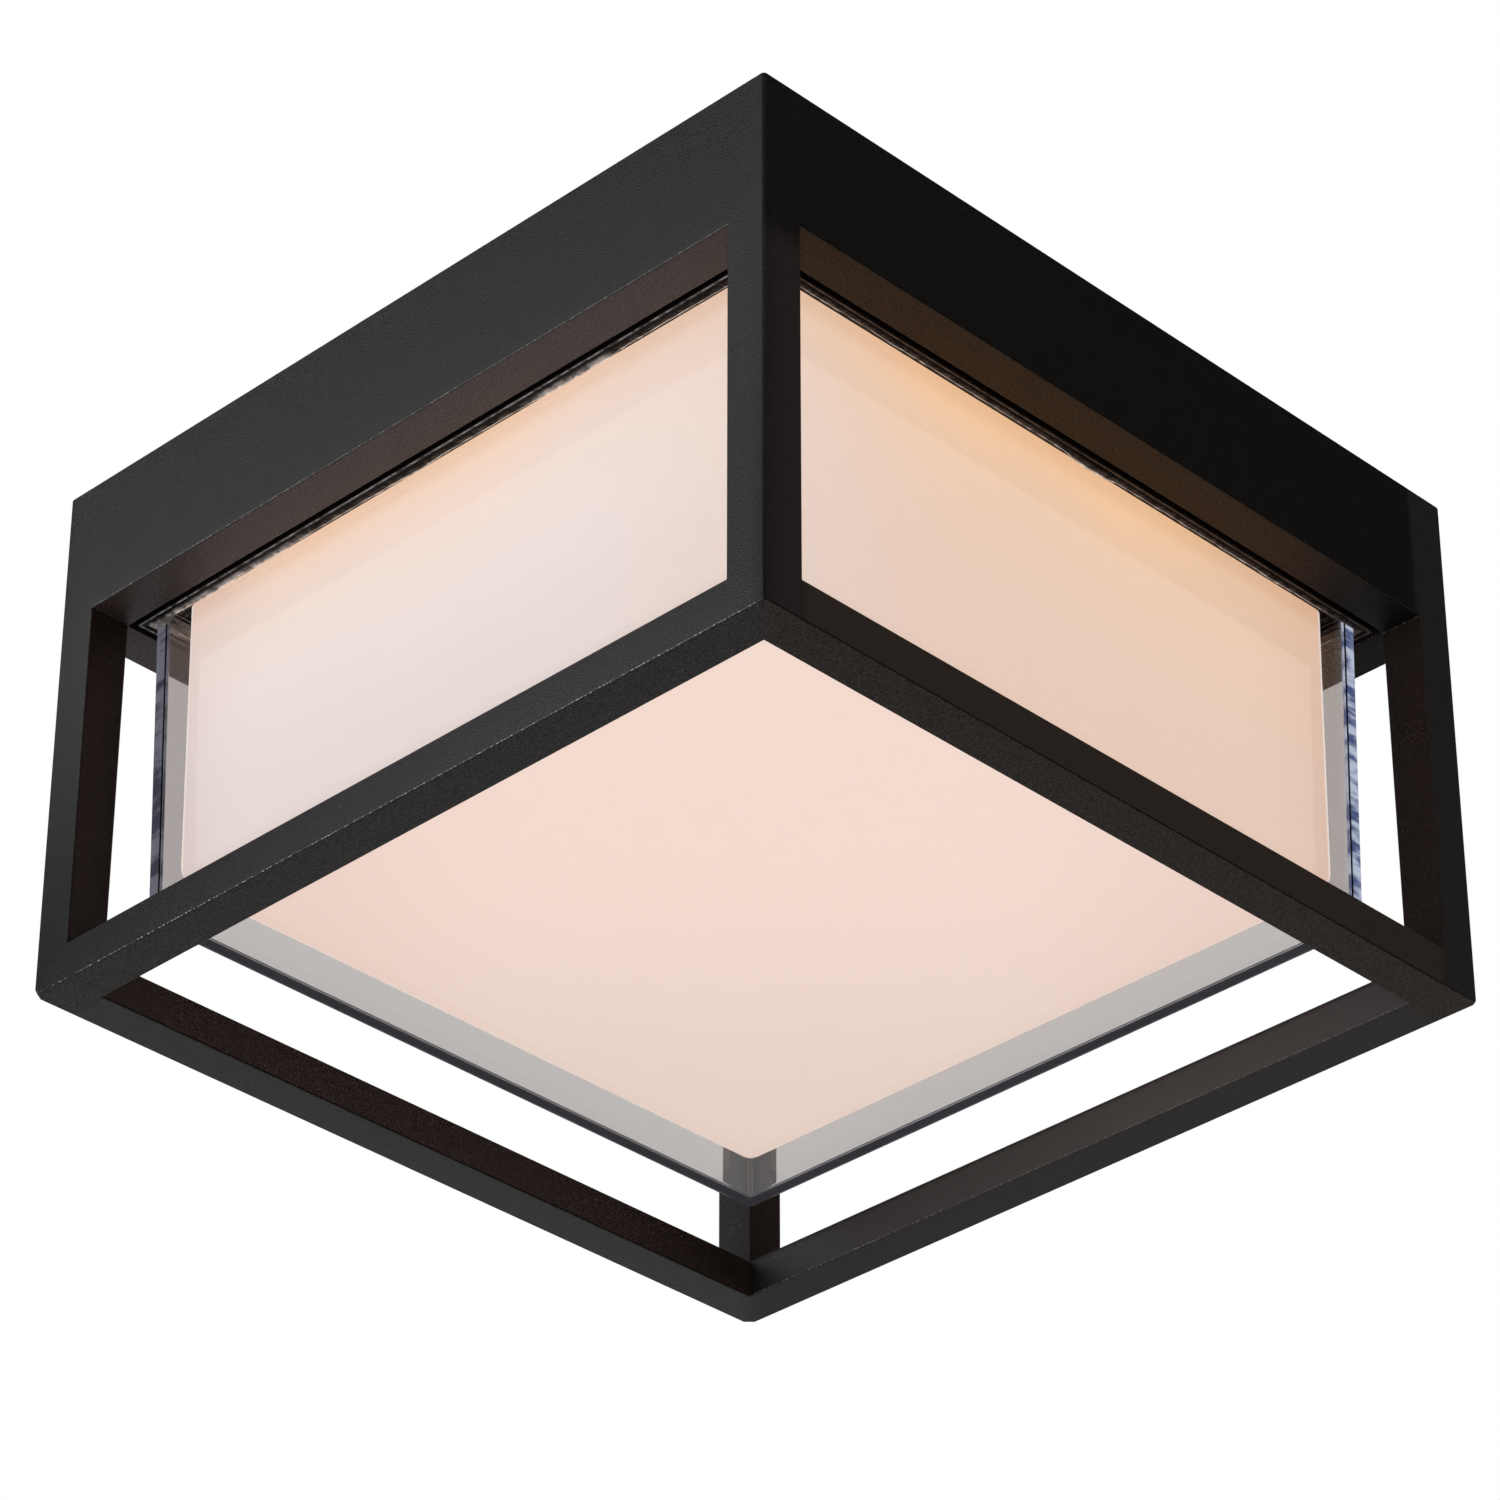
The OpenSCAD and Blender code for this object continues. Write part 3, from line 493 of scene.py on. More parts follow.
def painted_shade_half(paint, on, mottle, speckle):
    """Colour of the coating on the right and back half, a little browner: painted shade, with
    painted light on some faces.
    """
    # Painted shade: a browner tone than on the left and front half
    colour = tint(paint, mottle, (0.0085, 0.0058, 0.0032), (0.0135, 0.0092, 0.0056))
    # Painted light: the low right faces of the ring are lighter
    low_right = (1 - on.at["Z"].between(-0.095, -0.035)) * on.facing_right
    colour = tint(paint, low_right, colour, (0.070, 0.047, 0.034))
    # Painted light: the near post's right face below the ledge is lighter
    below_ledge = 1 - on.at["Z"].between(-0.040, -0.032)
    near_post = on.facing_right * on.front_member * below_ledge
    colour = tint(paint, near_post, colour, (0.046, 0.033, 0.031))
    # Painted light: the undersides of the near members, lit from below
    underside = tint(paint, speckle, (0.026, 0.020, 0.017), (0.080, 0.064, 0.056))
    colour = tint(paint, on.near_underside, colour, underside)
    # Painted light from the opal cover's glow on the ledge, fading to painted shade towards the
    # back
    ledge_end = on.at["Y"].between(0.046, 0.086)
    ledge_dark = tint(paint, ledge_end, (0.052, 0.033, 0.018), (0.014, 0.013, 0.013))
    ledge_light = tint(paint, ledge_end, (0.096, 0.063, 0.037), (0.032, 0.030, 0.030))
    colour = tint(paint, on.ledge * on.near_member, colour,
                  tint(paint, speckle, ledge_dark, ledge_light))
    # Painted light: the far members' right-facing faces are lighter
    colour = tint(paint, on.facing_right * on.far_member, colour, (0.036, 0.032, 0.030))
    # Painted light: a reddish glow on the front-facing inner face of the far right post
    post_inside = on.facing_front * on.far_member * on.at["X"].between(0.086, 0.088)
    return tint(paint, post_inside, colour, (0.030, 0.017, 0.013))


RIM_LINE = 0.0888
RIM_LINE_HALF = (0.00012, 0.00030)
RIM_LOW = (-0.0304, -0.0301)


def with_painted_rim_light_and_shade(paint, place, on, colour):
    """The tray's rim: a painted highlight as a pale line along its lower edge, and painted shade,
    near black, beside it.
    """
    far = on.at["X"].magnitude().larger(on.at["Y"].magnitude())
    off_line = far - (RIM_LINE - 0.0002 * on.painted_shade_half)
    # Painted highlight: a pale streaky line on the rim, browner on the right and back half
    line = 1 - off_line.magnitude().between(*RIM_LINE_HALF)
    line = line * (1 - on.at["Z"].between(*RIM_LOW))
    streaks = grain(paint, place, 600, 3, 0.7).between(0.36, 0.62)
    grey_line = tint(paint, streaks, (0.06, 0.06, 0.065), (0.58, 0.58, 0.61))
    brown_line = tint(paint, streaks, (0.090, 0.068, 0.052), (0.200, 0.152, 0.118))
    # Painted shade: the rim's underside beside the line is near black
    beside = tint(paint, on.underside, colour, (0.003, 0.002, 0.002))
    return tint(paint, line, beside, tint(paint, on.painted_shade_half, grey_line, brown_line))


def powder_coating(name, highlighted_rim=False, shine=0.5):
    """Black powder coating with fine grain and a few light specks, with painted light and shade
    by place and a painted highlight on some edges.
    """
    material, paint, place = start_finish(name)
    on = CoatingPlaces(paint, place)
    fine = grain(paint, place, 3600, 1, 0.5)
    coarse = grain(paint, place, 1100, 2, 0.5)
    specks = grain(paint, place, 2000, 1).between(0.68, 0.74)
    speckle = grain(paint, place, 2100, 2, 0.6).between(0.36, 0.66)
    mottle = fine.between(0.35, 0.65)
    colour = tint(paint, on.painted_shade_half, grey_half(paint, on, mottle, speckle),
                  painted_shade_half(paint, on, mottle, speckle))
    # Painted light: a reddish glow on the right-facing inner faces of the left members
    colour = tint(paint, on.inner_left, colour, (0.043, 0.019, 0.012))
    # Painted shade near the far corner on the far members' inner faces, with painted light
    # further from it
    from_corner = ((on.at["X"] + 0.092) * 9.0).clamped()
    far_ring = tint(paint, from_corner, (0.004, 0.003, 0.003), (0.098, 0.086, 0.086))
    colour = tint(paint, (on.far_inside - on.far_post).clamped(), colour, far_ring)
    colour = tint(paint, specks, colour, (0.085, 0.080, 0.080))
    # Painted highlight: the dotted pale line on the lower rounded edges
    colour = tint(paint, on.painted_edge_highlight, colour, (0.24, 0.24, 0.245))
    # Painted shade: the near black line on the right-facing lower edges
    colour = tint(paint, on.right_edge_painted_shade, colour, (0.001, 0.001, 0.001))
    if highlighted_rim:
        colour = with_painted_rim_light_and_shade(paint, place, on, colour)
    dull = (0.16 - 0.10 * on.facing_right) * on.painted_shade_half
    dull = dull + 0.35 * on.far_post + 0.30 * on.inner_left
    soft_sheen = on.near_underside + on.inner_left + on.ledge * on.painted_shade_half
    soft_sheen = soft_sheen + on.low_front + on.right_edge_painted_shade
    coat(paint, fine, 0.00009, Base_Color=colour, Metallic=0.85 * soft_sheen.clamped(),
         Roughness=0.36 + 0.10 * coarse + dull, Specular_IOR_Level=shine)
    return material


coating = powder_coating("black powder coating")
finish_piece("cage", cage, "lamp", [coating], ["cage_frame"])


# Tray: a coated cast plate that closes the cage. Its rim holds the silicone and the clear
# cover, its rib keeps the two covers apart, and four screws hold it on the cage's ledge.
tray = from_cad("lamp_tray")
soften(tray, FINE_EDGE_R)
# The tray's coating has a painted highlight and painted shade on its rim
tray_coating = powder_coating("tray coating, rubbed on its rim", highlighted_rim=True, shine=0.1)
finish_piece("tray", tray, "lamp", [tray_coating], ["lamp_tray"])


# Screws: pan-head steel screws with cross slots, bright zinc-plated and slightly cloudy. They
# hold the tray on the cage's posts, the opal cover from behind, and what sits on the tray.
steel, paint, place = start_finish("bright screw steel")
cloud = grain(paint, place, 400, 3)
coat(paint, grain(paint, place, 3000, 2), 0.00002,
     Base_Color=tint(paint, cloud, (0.52, 0.54, 0.57), (0.70, 0.70, 0.69)),
     Metallic=1.0, Roughness=0.22 + 0.22 * cloud)
for node in ("led_board_screws", "terminal_screws", "earth_washer"):
    dress(node, steel)
for node, name in (("tray_screws", "cage_to_tray_screws"),
                   ("diffuser_screws", "opal_cover_screws"),
                   ("driver_screws", "driver_fixing_screws"),
                   ("terminal_fixing_screws", "terminal_block_screws")):
    heads = from_cad(node)
    soften(heads, 0.12, 2)
    finish_piece(name, heads, "lamp", [steel], [node])


# Clear outer cover: five acrylic walls with rounded edges, polished, with a little draft. It
# hangs from the silicone under the tray's rim.
clear_low, clear_high = box_in_mm("clear_cover")
COVER_TOP = clear_high[2]
CLEAR_LOW = clear_low[2]
CLEAR_FLOOR = 2.4
CLEAR_EDGE_R = 1.2
CLEAR_OUTSIDE = (clear_high[0], 85.05)
CLEAR_INSIDE = (84.4, 82.90)
WALL_DRAFT = (CLEAR_OUTSIDE[0] - CLEAR_OUTSIDE[1]) / (COVER_TOP - CLEAR_LOW)


def drafted_shell(shape, half_top, half_low, low, radius, steps):
    """An open box with drafted walls and rounded edges; gives back the rims open at the tray."""
    made = box_between(shape, (-half_top, -half_top, low), (half_top, half_top, COVER_TOP))
    floor = [vert for vert in made if vert.co.z < COVER_TOP - 1]
    share = half_low / half_top
    bmesh.ops.scale(shape, vec=(share, share, 1), verts=floor)
    faces = once_each(face for vert in made for face in vert.link_faces)
    lid = [face for face in faces if face.calc_center_median().z > COVER_TOP - 1]
    bmesh.ops.delete(shape, geom=lid, context="FACES_ONLY")
    edges = once_each(edge for vert in floor for edge in vert.link_edges)
    bmesh.ops.bevel(shape, geom=edges, offset=radius, offset_type="OFFSET", affect="EDGES",
                    segments=steps, profile=0.5, material=-1, clamp_overlap=True)
    return [edge for edge in shape.edges if len(edge.link_faces) == 1
            and all(vert.co.z > COVER_TOP - NEAR for vert in edge.verts)]


def hollow(outer, inner):
    """Two drafted shells joined at their rims, as one closed wall."""
    shape = bmesh.new()
    drafted_shell(shape, *outer)
    outside = set(shape.faces)
    both_rims = drafted_shell(shape, *inner)
    inside = [face for face in shape.faces if face not in outside]
    bmesh.ops.reverse_faces(shape, faces=inside)
    bmesh.ops.bridge_loops(shape, edges=both_rims)
    return shape


cover = hollow((*CLEAR_OUTSIDE, CLEAR_LOW, CLEAR_EDGE_R, 4),
               (*CLEAR_INSIDE, CLEAR_LOW + CLEAR_FLOOR, CLEAR_EDGE_R, 4))

# In metres: the floor's inner face, and how far inside the walls' outer faces the seams end
FLOOR_TOP = (CLEAR_LOW + CLEAR_FLOOR) * MM
SEAM_INSET = (0.0031, 0.0035)
FLOOR_SEAM_INSET = (0.0030, 0.0036)
CORNER_SHARE = 0.88
FLOOR_SEAM_SHARE = 0.90
acrylic, paint, place = start_finish("clear acrylic")
axes = split(paint, place)
wave = grain(paint, place, 55, 2)
on_floor = 1 - axes["Z"].between(FLOOR_TOP - 0.0001, FLOOR_TOP + 0.0009)
clear_tint = tint(paint, on_floor, (0.648, 0.626, 0.618), (0.765, 0.762, 0.762))
# Painted light: the floor of the clear cover glows faintly
floor_painted_glow = tint(paint, on_floor, (0.0, 0.0, 0.0), (0.034, 0.033, 0.033))
polished = layer(paint, wave, 0.00002, Base_Color=clear_tint, Roughness=0.03, IOR=1.49,
                 Transmission_Weight=1.0, Emission_Color=floor_painted_glow, Emission_Strength=1.0)
wall_at = CLEAR_OUTSIDE[0] * MM + (axes["Z"] - COVER_TOP * MM) * WALL_DRAFT
inset_x = wall_at - axes["X"].magnitude()
inset_y = wall_at - axes["Y"].magnitude()
corner = (1 - inset_x.between(*SEAM_INSET)) * (1 - inset_y.between(*SEAM_INSET))
across = axes["X"] + axes["Y"]
at_side = 1 - (axes["X"] - axes["Y"]).magnitude().between(0.02, 0.04)
corner = corner * at_side * (1 - on_floor)
lower_edge = (1 - inset_x.smaller(inset_y).between(*FLOOR_SEAM_INSET)) * on_floor
seam_mask = (CORNER_SHARE * corner).larger(FLOOR_SEAM_SHARE * lower_edge)
ripple = grain(paint, place, 210, 3, 0.6, stretch=(0.25, 0.25, 1))
blobs = ripple.between(0.42, 0.56)
# Painted light: the seams glow, with dark blobs, brighter at the right corner than at the left,
# and dimly along the floor
seam_light = tint(paint, across.between(-0.02, 0.02),
                  tint(paint, blobs, (0.030, 0.030, 0.050), (0.130, 0.130, 0.160)),
                  tint(paint, blobs, (0.060, 0.080, 0.200), (0.480, 0.540, 0.660)))
seam_light = tint(paint, on_floor, seam_light,
                  tint(paint, wave, (0.012, 0.010, 0.014), (0.024, 0.021, 0.026)))
seam = layer(paint, ripple, 0.0006, Base_Color=(0.05, 0.05, 0.06), Roughness=0.2, IOR=1.49,
             Emission_Color=seam_light, Emission_Strength=1.0)
mixed = paint.node("ShaderNodeMixShader", {}, {0: seam_mask, 1: polished, 2: seam})
paint.node("ShaderNodeOutputMaterial", {}, {"Surface": mixed})
finish_piece("outer_cover", cover, "lamp", [acrylic], ["clear_cover"])


# Silicone: a hand-laid bead between the tray's rim and the clear cover, clear and uneven, with
# lumps where the nozzle stopped. Each lump has its place, its reach and its depth.
bead_high = box_in_mm("cover_seal")[1]
RIM_SIDE = bead_high[0] - 0.05
COVER_SIDE = clear_high[0] + 0.1
BEAD_TOP = -27.22
BEAD_PROFILE = ((RIM_SIDE, BEAD_TOP), (COVER_SIDE, BEAD_TOP), (86.63, -29.6), (86.60, -30.75),
                (86.95, -30.80), (87.5, -30.76), (RIM_SIDE, -30.5))
LOWER_EDGE = -30.72
BY_COVER = 86.8
SIDE_CUTS = 130
FRONT_DROP = 0.22
LUMPS = ((-83, -87, 1.8, 1.6), (-68, -87, 10, 0.5), (-48, -87, 7, 0.4), (34, -87, 11, 0.5),
         (46, -87, 2.2, 0.5), (-8, -87, 5, 0.3), (87, 3, 5, 1.1), (87, 9, 3, 0.7),
         (87, 60, 5, 0.4), (-87, 30, 5, 1.0), (-40, 87, 6, 1.1), (52, 87, 3.5, 0.8))


def square_loop(shape, half, z, cuts):
    """A square of short edges, centred on the light's middle."""
    old = set(shape.edges)
    turn = Matrix.Translation((0, 0, z)) @ Matrix.Rotation(math.pi / 4, 4, "Z")
    bmesh.ops.create_circle(shape, segments=4, radius=half * math.sqrt(2), matrix=turn)
    sides = [edge for edge in shape.edges if edge not in old]
    bmesh.ops.subdivide_edges(shape, edges=sides, cuts=cuts)
    return [edge for edge in shape.edges if edge not in old]


bead = bmesh.new()
loops = [square_loop(bead, half, z, SIDE_CUTS) for half, z in BEAD_PROFILE]
bridge(bead, *loops, loops[0])
bmesh.ops.recalc_face_normals(bead, faces=bead.faces)
for vert in bead.verts:
    if vert.co.z < LOWER_EDGE:
        along = Vector((vert.co.x, vert.co.y, 0))
        drop = 0.20 * noise.noise(along * 0.09) + 0.22 * noise.noise(along * 0.5) - 0.12
        drop += FRONT_DROP if along.y < -86 else 0
        for x, y, reach, depth in LUMPS:
            drop += depth * math.exp(-((along.x - x) ** 2 + (along.y - y) ** 2) / reach ** 2)
        by_cover = max(abs(vert.co.x), abs(vert.co.y)) < BY_COVER
        vert.co.z -= max(-0.45, drop) if by_cover else max(0.0, 0.4 * drop)

# Steps in metres where the bead is full, where shade from the rim is painted on it, and where the
# opal cover's light is painted on it as a glow
FULL_LEFT_X = (-0.046, -0.036)
FULL_MIDDLE_X = ((0.021, 0.029), (0.044, 0.048))
RIM_SHADE = (0.0872, 0.0879)
LIT_EDGE = (0.08674, 0.08686)
LIT_LEVEL = (-0.0305, -0.0302)
SHORT_OF_CORNER = (0.079, 0.081)
silicone, paint, place = start_finish("clear silicone")
cloud = grain(paint, place, 420, 3, 0.6).between(0.38, 0.68)
side = split(paint, place)
# Painted shade: on the right and back half the bead is never full, so it stays dark
bead_painted_shade_half = (side["X"] + side["Y"]).between(*HALVES_MEET)
far = side["X"].magnitude().larger(side["Y"].magnitude())
full_left = 1 - side["X"].between(*FULL_LEFT_X)
full_middle = (side["X"].between(*FULL_MIDDLE_X[0])
               * (1 - side["X"].between(*FULL_MIDDLE_X[1])))
full = (full_left + full_middle) * (1 - bead_painted_shade_half)
thick = tint(paint, cloud, (0.070, 0.063, 0.061), (0.270, 0.252, 0.246))
painted_light_and_thin_bead = tint(paint, cloud, (0.008, 0.005, 0.004), (0.045, 0.034, 0.028))
# Painted shade: near black next to the rim
painted_rim_shade = far.between(*RIM_SHADE)
bead_colour = tint(paint, painted_rim_shade, tint(paint, full, painted_light_and_thin_bead, thick), (0.004, 0.003, 0.003))
# Painted light: the opal cover's light as a glow in the bead, brightest along its edge by the
# cover
lit_thin = tint(paint, cloud, (0.050, 0.042, 0.038), (0.220, 0.188, 0.175))
lit_thick = tint(paint, cloud, (0.004, 0.002, 0.001), (0.030, 0.020, 0.016))
lit_through = tint(paint, full, lit_thick, lit_thin)
lit_through = tint(paint, painted_rim_shade, lit_through, (0.0, 0.0, 0.0))
near = side["X"].magnitude().smaller(side["Y"].magnitude())
lit_edge = (1 - far.between(*LIT_EDGE)) * (1 - near.between(*SHORT_OF_CORNER))
lit_edge = lit_edge * (1 - side["Z"].between(*LIT_LEVEL)) * (0.35 + 0.65 * cloud)
lit_through = tint(paint, lit_edge, lit_through, (0.66, 0.53, 0.45))
coat(paint, cloud, 0.0003, Base_Color=bead_colour,
     Roughness=0.3, IOR=1.41, Transmission_Weight=0.2, Specular_IOR_Level=0.2,
     Emission_Color=lit_through, Emission_Strength=1.0)
finish_piece("silicone_bead", bead, "lamp", [silicone], ["cover_seal"])


# Opal inner cover: a satin acrylic box with generous edges, lit from inside, so its own glow is
# part of the plastic, warmer towards the tray. The screws from behind the tray go into the four
# bosses in its corners.
opal_low, opal_high = box_in_mm("opal_diffuser")
OPAL_LOW = opal_low[2]
OPAL_FLOOR = 2.0
OPAL_EDGE_R = 3.0
OPAL_OUTSIDE = (opal_high[0], 80.81)
OPAL_INSIDE = (79.6, 78.83)
COVER_BOSS_AT = 76.0
COVER_BOSS_R = 4.0
COVER_BOSS_LOW = -41.2
COVER_SCREW_HOLE_R = 1.6
COVER_SCREW_HOLE_END = -35.7
COVER_BOSS_STEPS = ((COVER_BOSS_R, COVER_BOSS_LOW), (COVER_BOSS_R, COVER_TOP),
                    (COVER_SCREW_HOLE_R, COVER_TOP), (COVER_SCREW_HOLE_R, COVER_SCREW_HOLE_END))
opal_shape = hollow((*OPAL_OUTSIDE, OPAL_LOW, OPAL_EDGE_R, 5),
                    (*OPAL_INSIDE, OPAL_LOW + OPAL_FLOOR, OPAL_EDGE_R, 5))
box_faces = set(opal_shape.faces)
for x in (-COVER_BOSS_AT, COVER_BOSS_AT):
    for y in (-COVER_BOSS_AT, COVER_BOSS_AT):
        steps = []
        for radius, z in COVER_BOSS_STEPS:
            made = bmesh.ops.create_circle(opal_shape, segments=32, radius=radius,
                                           matrix=Matrix.Translation((x, y, z)))["verts"]
            steps.append(once_each(edge for vert in made for edge in vert.link_edges))
        bridge(opal_shape, *steps)
        for end in (steps[0], steps[-1]):
            bmesh.ops.edgenet_fill(opal_shape, edges=end)
bosses = [face for face in opal_shape.faces if face not in box_faces]
bmesh.ops.recalc_face_normals(opal_shape, faces=bosses)

# In metres: the floor's outer face, and the steps between which the glow changes
OPAL_FLOOR_Z = OPAL_LOW * MM
WARM_SPAN = (-0.06, 0.06)
WALL_SPAN = (-0.090, -0.055)
UNDER_RIM = (-0.0335, -0.0285)
WARMTH_FROM = 0.074
WARMTH_DRIFT = 0.024
opal, paint, place = start_finish("lit opal acrylic")
axes = split(paint, place)
warm_side = (axes["X"] + axes["Y"]).between(*WARM_SPAN)
along_wall = axes["X"].magnitude().smaller(axes["Y"].magnitude())
mid_wall = 1 - 0.40 * along_wall.between(0.03, 0.085)
drift = grain(paint, place, 16, 2)
near_tray = (axes["Z"] + WARMTH_FROM + WARMTH_DRIFT * drift) * 17.5
near_tray = (near_tray.clamped() ** 3.2 * mid_wall).clamped()
on_floor = 1 - axes["Z"].between(OPAL_FLOOR_Z + 0.0001, OPAL_FLOOR_Z + 0.0009)
raised = axes["Z"].between(*WALL_SPAN)
# Painted light: the front and left walls glow cooler, the right and back walls warmer
cool_wall = tint(paint, raised, (1.165, 1.04, 1.01), (1.235, 1.12, 1.10))
warm_wall = tint(paint, raised, (1.24, 0.925, 0.75), (1.25, 0.925, 0.725))
wall_glow = tint(paint, warm_side, cool_wall, warm_wall)
top_glow = tint(paint, warm_side, (1.62, 1.17, 0.86), (1.55, 1.03, 0.62))
glow = tint(paint, near_tray, wall_glow, top_glow)
# Painted shadow of the tray's rim: a darker band just under it
under_rim = axes["Z"].between(*UNDER_RIM)
glow = tint(paint, under_rim, glow, (0.925, 0.88, 0.855), "MULTIPLY")
# Painted shade: the walls' glow is darker towards the left and right corners
sideways = (axes["X"] + axes["Y"]).magnitude()
at_side = sideways.between(0.135, 0.165)
glow = tint(paint, at_side, glow, (0.95, 0.92, 0.92), "MULTIPLY")
# Painted light: the floor glows brighter towards the near corner
towards_near = (axes["X"] - axes["Y"]).between(-0.13, 0.03)
floor_glow = tint(paint, towards_near, (1.02, 0.78, 0.655), (1.12, 0.845, 0.72))
# Painted shade: the floor's glow is darker towards the left and right corners
to_side = sideways.between(0.06, 0.15)
floor_glow = tint(paint, to_side, floor_glow, (0.93, 0.90, 0.89), "MULTIPLY")
glow = tint(paint, on_floor, glow, floor_glow)
facing = split(paint, paint.node("ShaderNodeNewGeometry", {}, {}, out="Normal"))
# Painted highlight: the rounded upright corners that face the sides glow brighter
side_edge = (facing["X"] + facing["Y"]).magnitude().between(1.14, 1.24)
glow = tint(paint, side_edge, glow, (1.30, 1.16, 1.08))
coat(paint, grain(paint, place, 1500, 2), 0.00003,
     Base_Color=(0.30, 0.29, 0.28), Roughness=0.42, Emission_Color=glow, Emission_Strength=1.0)
finish_piece("inner_cover", opal_shape, "lamp", [opal], ["opal_diffuser"])


# Light source: an aluminium board with a white solder mask and 36 chips, screwed to the tray's
# underside inside the opal cover. Two sleeved leads from the driver end in its plug, and a rubber
# collar keeps the tray's edge off them.
mask, paint, place = start_finish("white solder mask")
coat(paint, grain(paint, place, 1800, 2), 0.00002, Base_Color=(0.80, 0.80, 0.77),
     Roughness=0.35 + 0.1 * grain(paint, place, 80, 2))
dress("led_board", mask)

phosphor, paint, place = start_finish("phosphor gel")
coat(paint, grain(paint, place, 2500, 2), 0.00002,
     Base_Color=tint(paint, grain(paint, place, 900, 2), (0.80, 0.62, 0.12), (0.88, 0.74, 0.24)),
     Roughness=0.3, Emission_Color=(1.0, 0.82, 0.55), Emission_Strength=1.0)
dress("led_chips", phosphor)

nylon, paint, place = start_finish("natural nylon")
coat(paint, grain(paint, place, 1500, 2), 0.00003,
     Base_Color=tint(paint, grain(paint, place, 90, 3), (0.70, 0.69, 0.62), (0.80, 0.79, 0.73)),
     Roughness=0.40 + 0.1 * grain(paint, place, 300, 2), Subsurface_Weight=0.15,
     Subsurface_Scale=0.002)
dress("led_connector", nylon)
collar = from_cad("lead_grommet")
soften(collar, 0.3, 3)
finish_piece("board_lead_grommet", collar, "lamp", [rubber], ["lead_grommet"])

driver_low, driver_high = box_in_mm("driver_case")
collar_low, collar_high = box_in_mm("lead_grommet")
plug_low, plug_high = box_in_mm("led_connector")
DRIVER_FOOT = 10.0
DRIVER_X = (driver_low[0] + DRIVER_FOOT, driver_high[0] - DRIVER_FOOT)
DRIVER_Y = (driver_low[1] + driver_high[1]) / 2
DRIVER_H = driver_high[2] - driver_low[2]
TRAY_TOP = driver_low[2]
TRAY_LOW = COVER_TOP
GROMMET_X = (collar_low[0] + collar_high[0]) / 2
PLUG_X = plug_low[0]
PLUG_Z = (plug_low[2] + plug_high[2]) / 2
BOARD_LEAD_D = 1.6
LEAD_SIDES = 16
LEAD_STEPS = 6


def sleeve(name, colour):
    """Extruded wire insulation in one colour."""
    material, paint, place = start_finish(name)
    dark = tuple(0.75 * part for part in colour)
    coat(paint, grain(paint, place, 1200, 2), 0.00004,
         Base_Color=tint(paint, grain(paint, place, 150, 3), dark, colour),
         Roughness=0.36 + 0.14 * grain(paint, place, 500, 2))
    return material


def smooth_path(points):
    """Points along a smooth curve through the given ones, as the CAD's leads run."""
    points = [Vector(point) for point in points]
    path = []
    for i in range(len(points) - 1):
        before, start, end, after = (points[max(i - 1, 0)], points[i], points[i + 1],
                                     points[min(i + 2, len(points) - 1)])
        for step in range(LEAD_STEPS):
            t = step / LEAD_STEPS
            path.append(0.5 * (2 * start + (end - before) * t
                               + (2 * before - 5 * start + 4 * end - after) * t ** 2
                               + (3 * start - before - 3 * end + after) * t ** 3))
    return path + [points[-1]]


def wire(name, points, diameter, materials, node, striped=()):
    """A round lead along a path; the sides named in striped get the second material."""
    path = smooth_path(points)
    along = [(after - before).normalized()
             for before, after in zip([path[0], *path[:-1]], [*path[1:], path[-1]])]
    shape = bmesh.new()
    side_of = {}
    rings = []
    across = along[0].orthogonal()
    for middle, heading in zip(path, along):
        across = (across - across.dot(heading) * heading).normalized()
        turn = Matrix((across, heading.cross(across), heading)).transposed().to_4x4()
        made = bmesh.ops.create_circle(shape, segments=LEAD_SIDES, radius=diameter / 2,
                                       matrix=Matrix.Translation(middle) @ turn)["verts"]
        side_of.update({vert: side for side, vert in enumerate(made)})
        rings.append([edge for edge in shape.edges
                      if edge.verts[0] in made and edge.verts[1] in made])
    bridge(shape, *rings)
    for face in shape.faces:
        sides = sorted({side_of[vert] for vert in face.verts})
        side = sides[-1] if sides[-1] - sides[0] > 1 else sides[0]
        face.material_index = 1 if side in striped else 0
    for end in (rings[0], rings[-1]):
        bmesh.ops.edgenet_fill(shape, edges=end)
    bmesh.ops.recalc_face_normals(shape, faces=shape.faces)
    finish_piece(name, shape, "lamp", materials, [node])


def board_lead(side, rise):
    """Points of a lead from the driver through the tray's grommet to the board's plug."""
    y = side * 0.9
    up = TRAY_TOP + 5 + rise
    left = DRIVER_X[0]
    exit_y = DRIVER_Y + 8
    x = GROMMET_X
    return [(left, exit_y, up + 6), (left - 4, exit_y, up + 6), (left - 12, exit_y + 3, up + 5),
            (x + 0.5, exit_y + 12, up + 3), (x, -16, up + 1), (x, y - 5, up),
            (x, y - 1.4, up - 1.4), (x, y, up - 4.4), (x, y, TRAY_LOW - 0.4),
            (x + 0.5, y, PLUG_Z + 0.9), (x + 2, y, PLUG_Z), (x + 6, y, PLUG_Z),
            (PLUG_X, y, PLUG_Z)]


wire("board_lead_red", board_lead(1, 3), BOARD_LEAD_D,
     [sleeve("red sleeve", (0.42, 0.025, 0.018))], "led_lead_positive")
wire("board_lead_black", board_lead(-1, 0), BOARD_LEAD_D,
     [sleeve("black sleeve", (0.016, 0.016, 0.017))], "led_lead_negative")


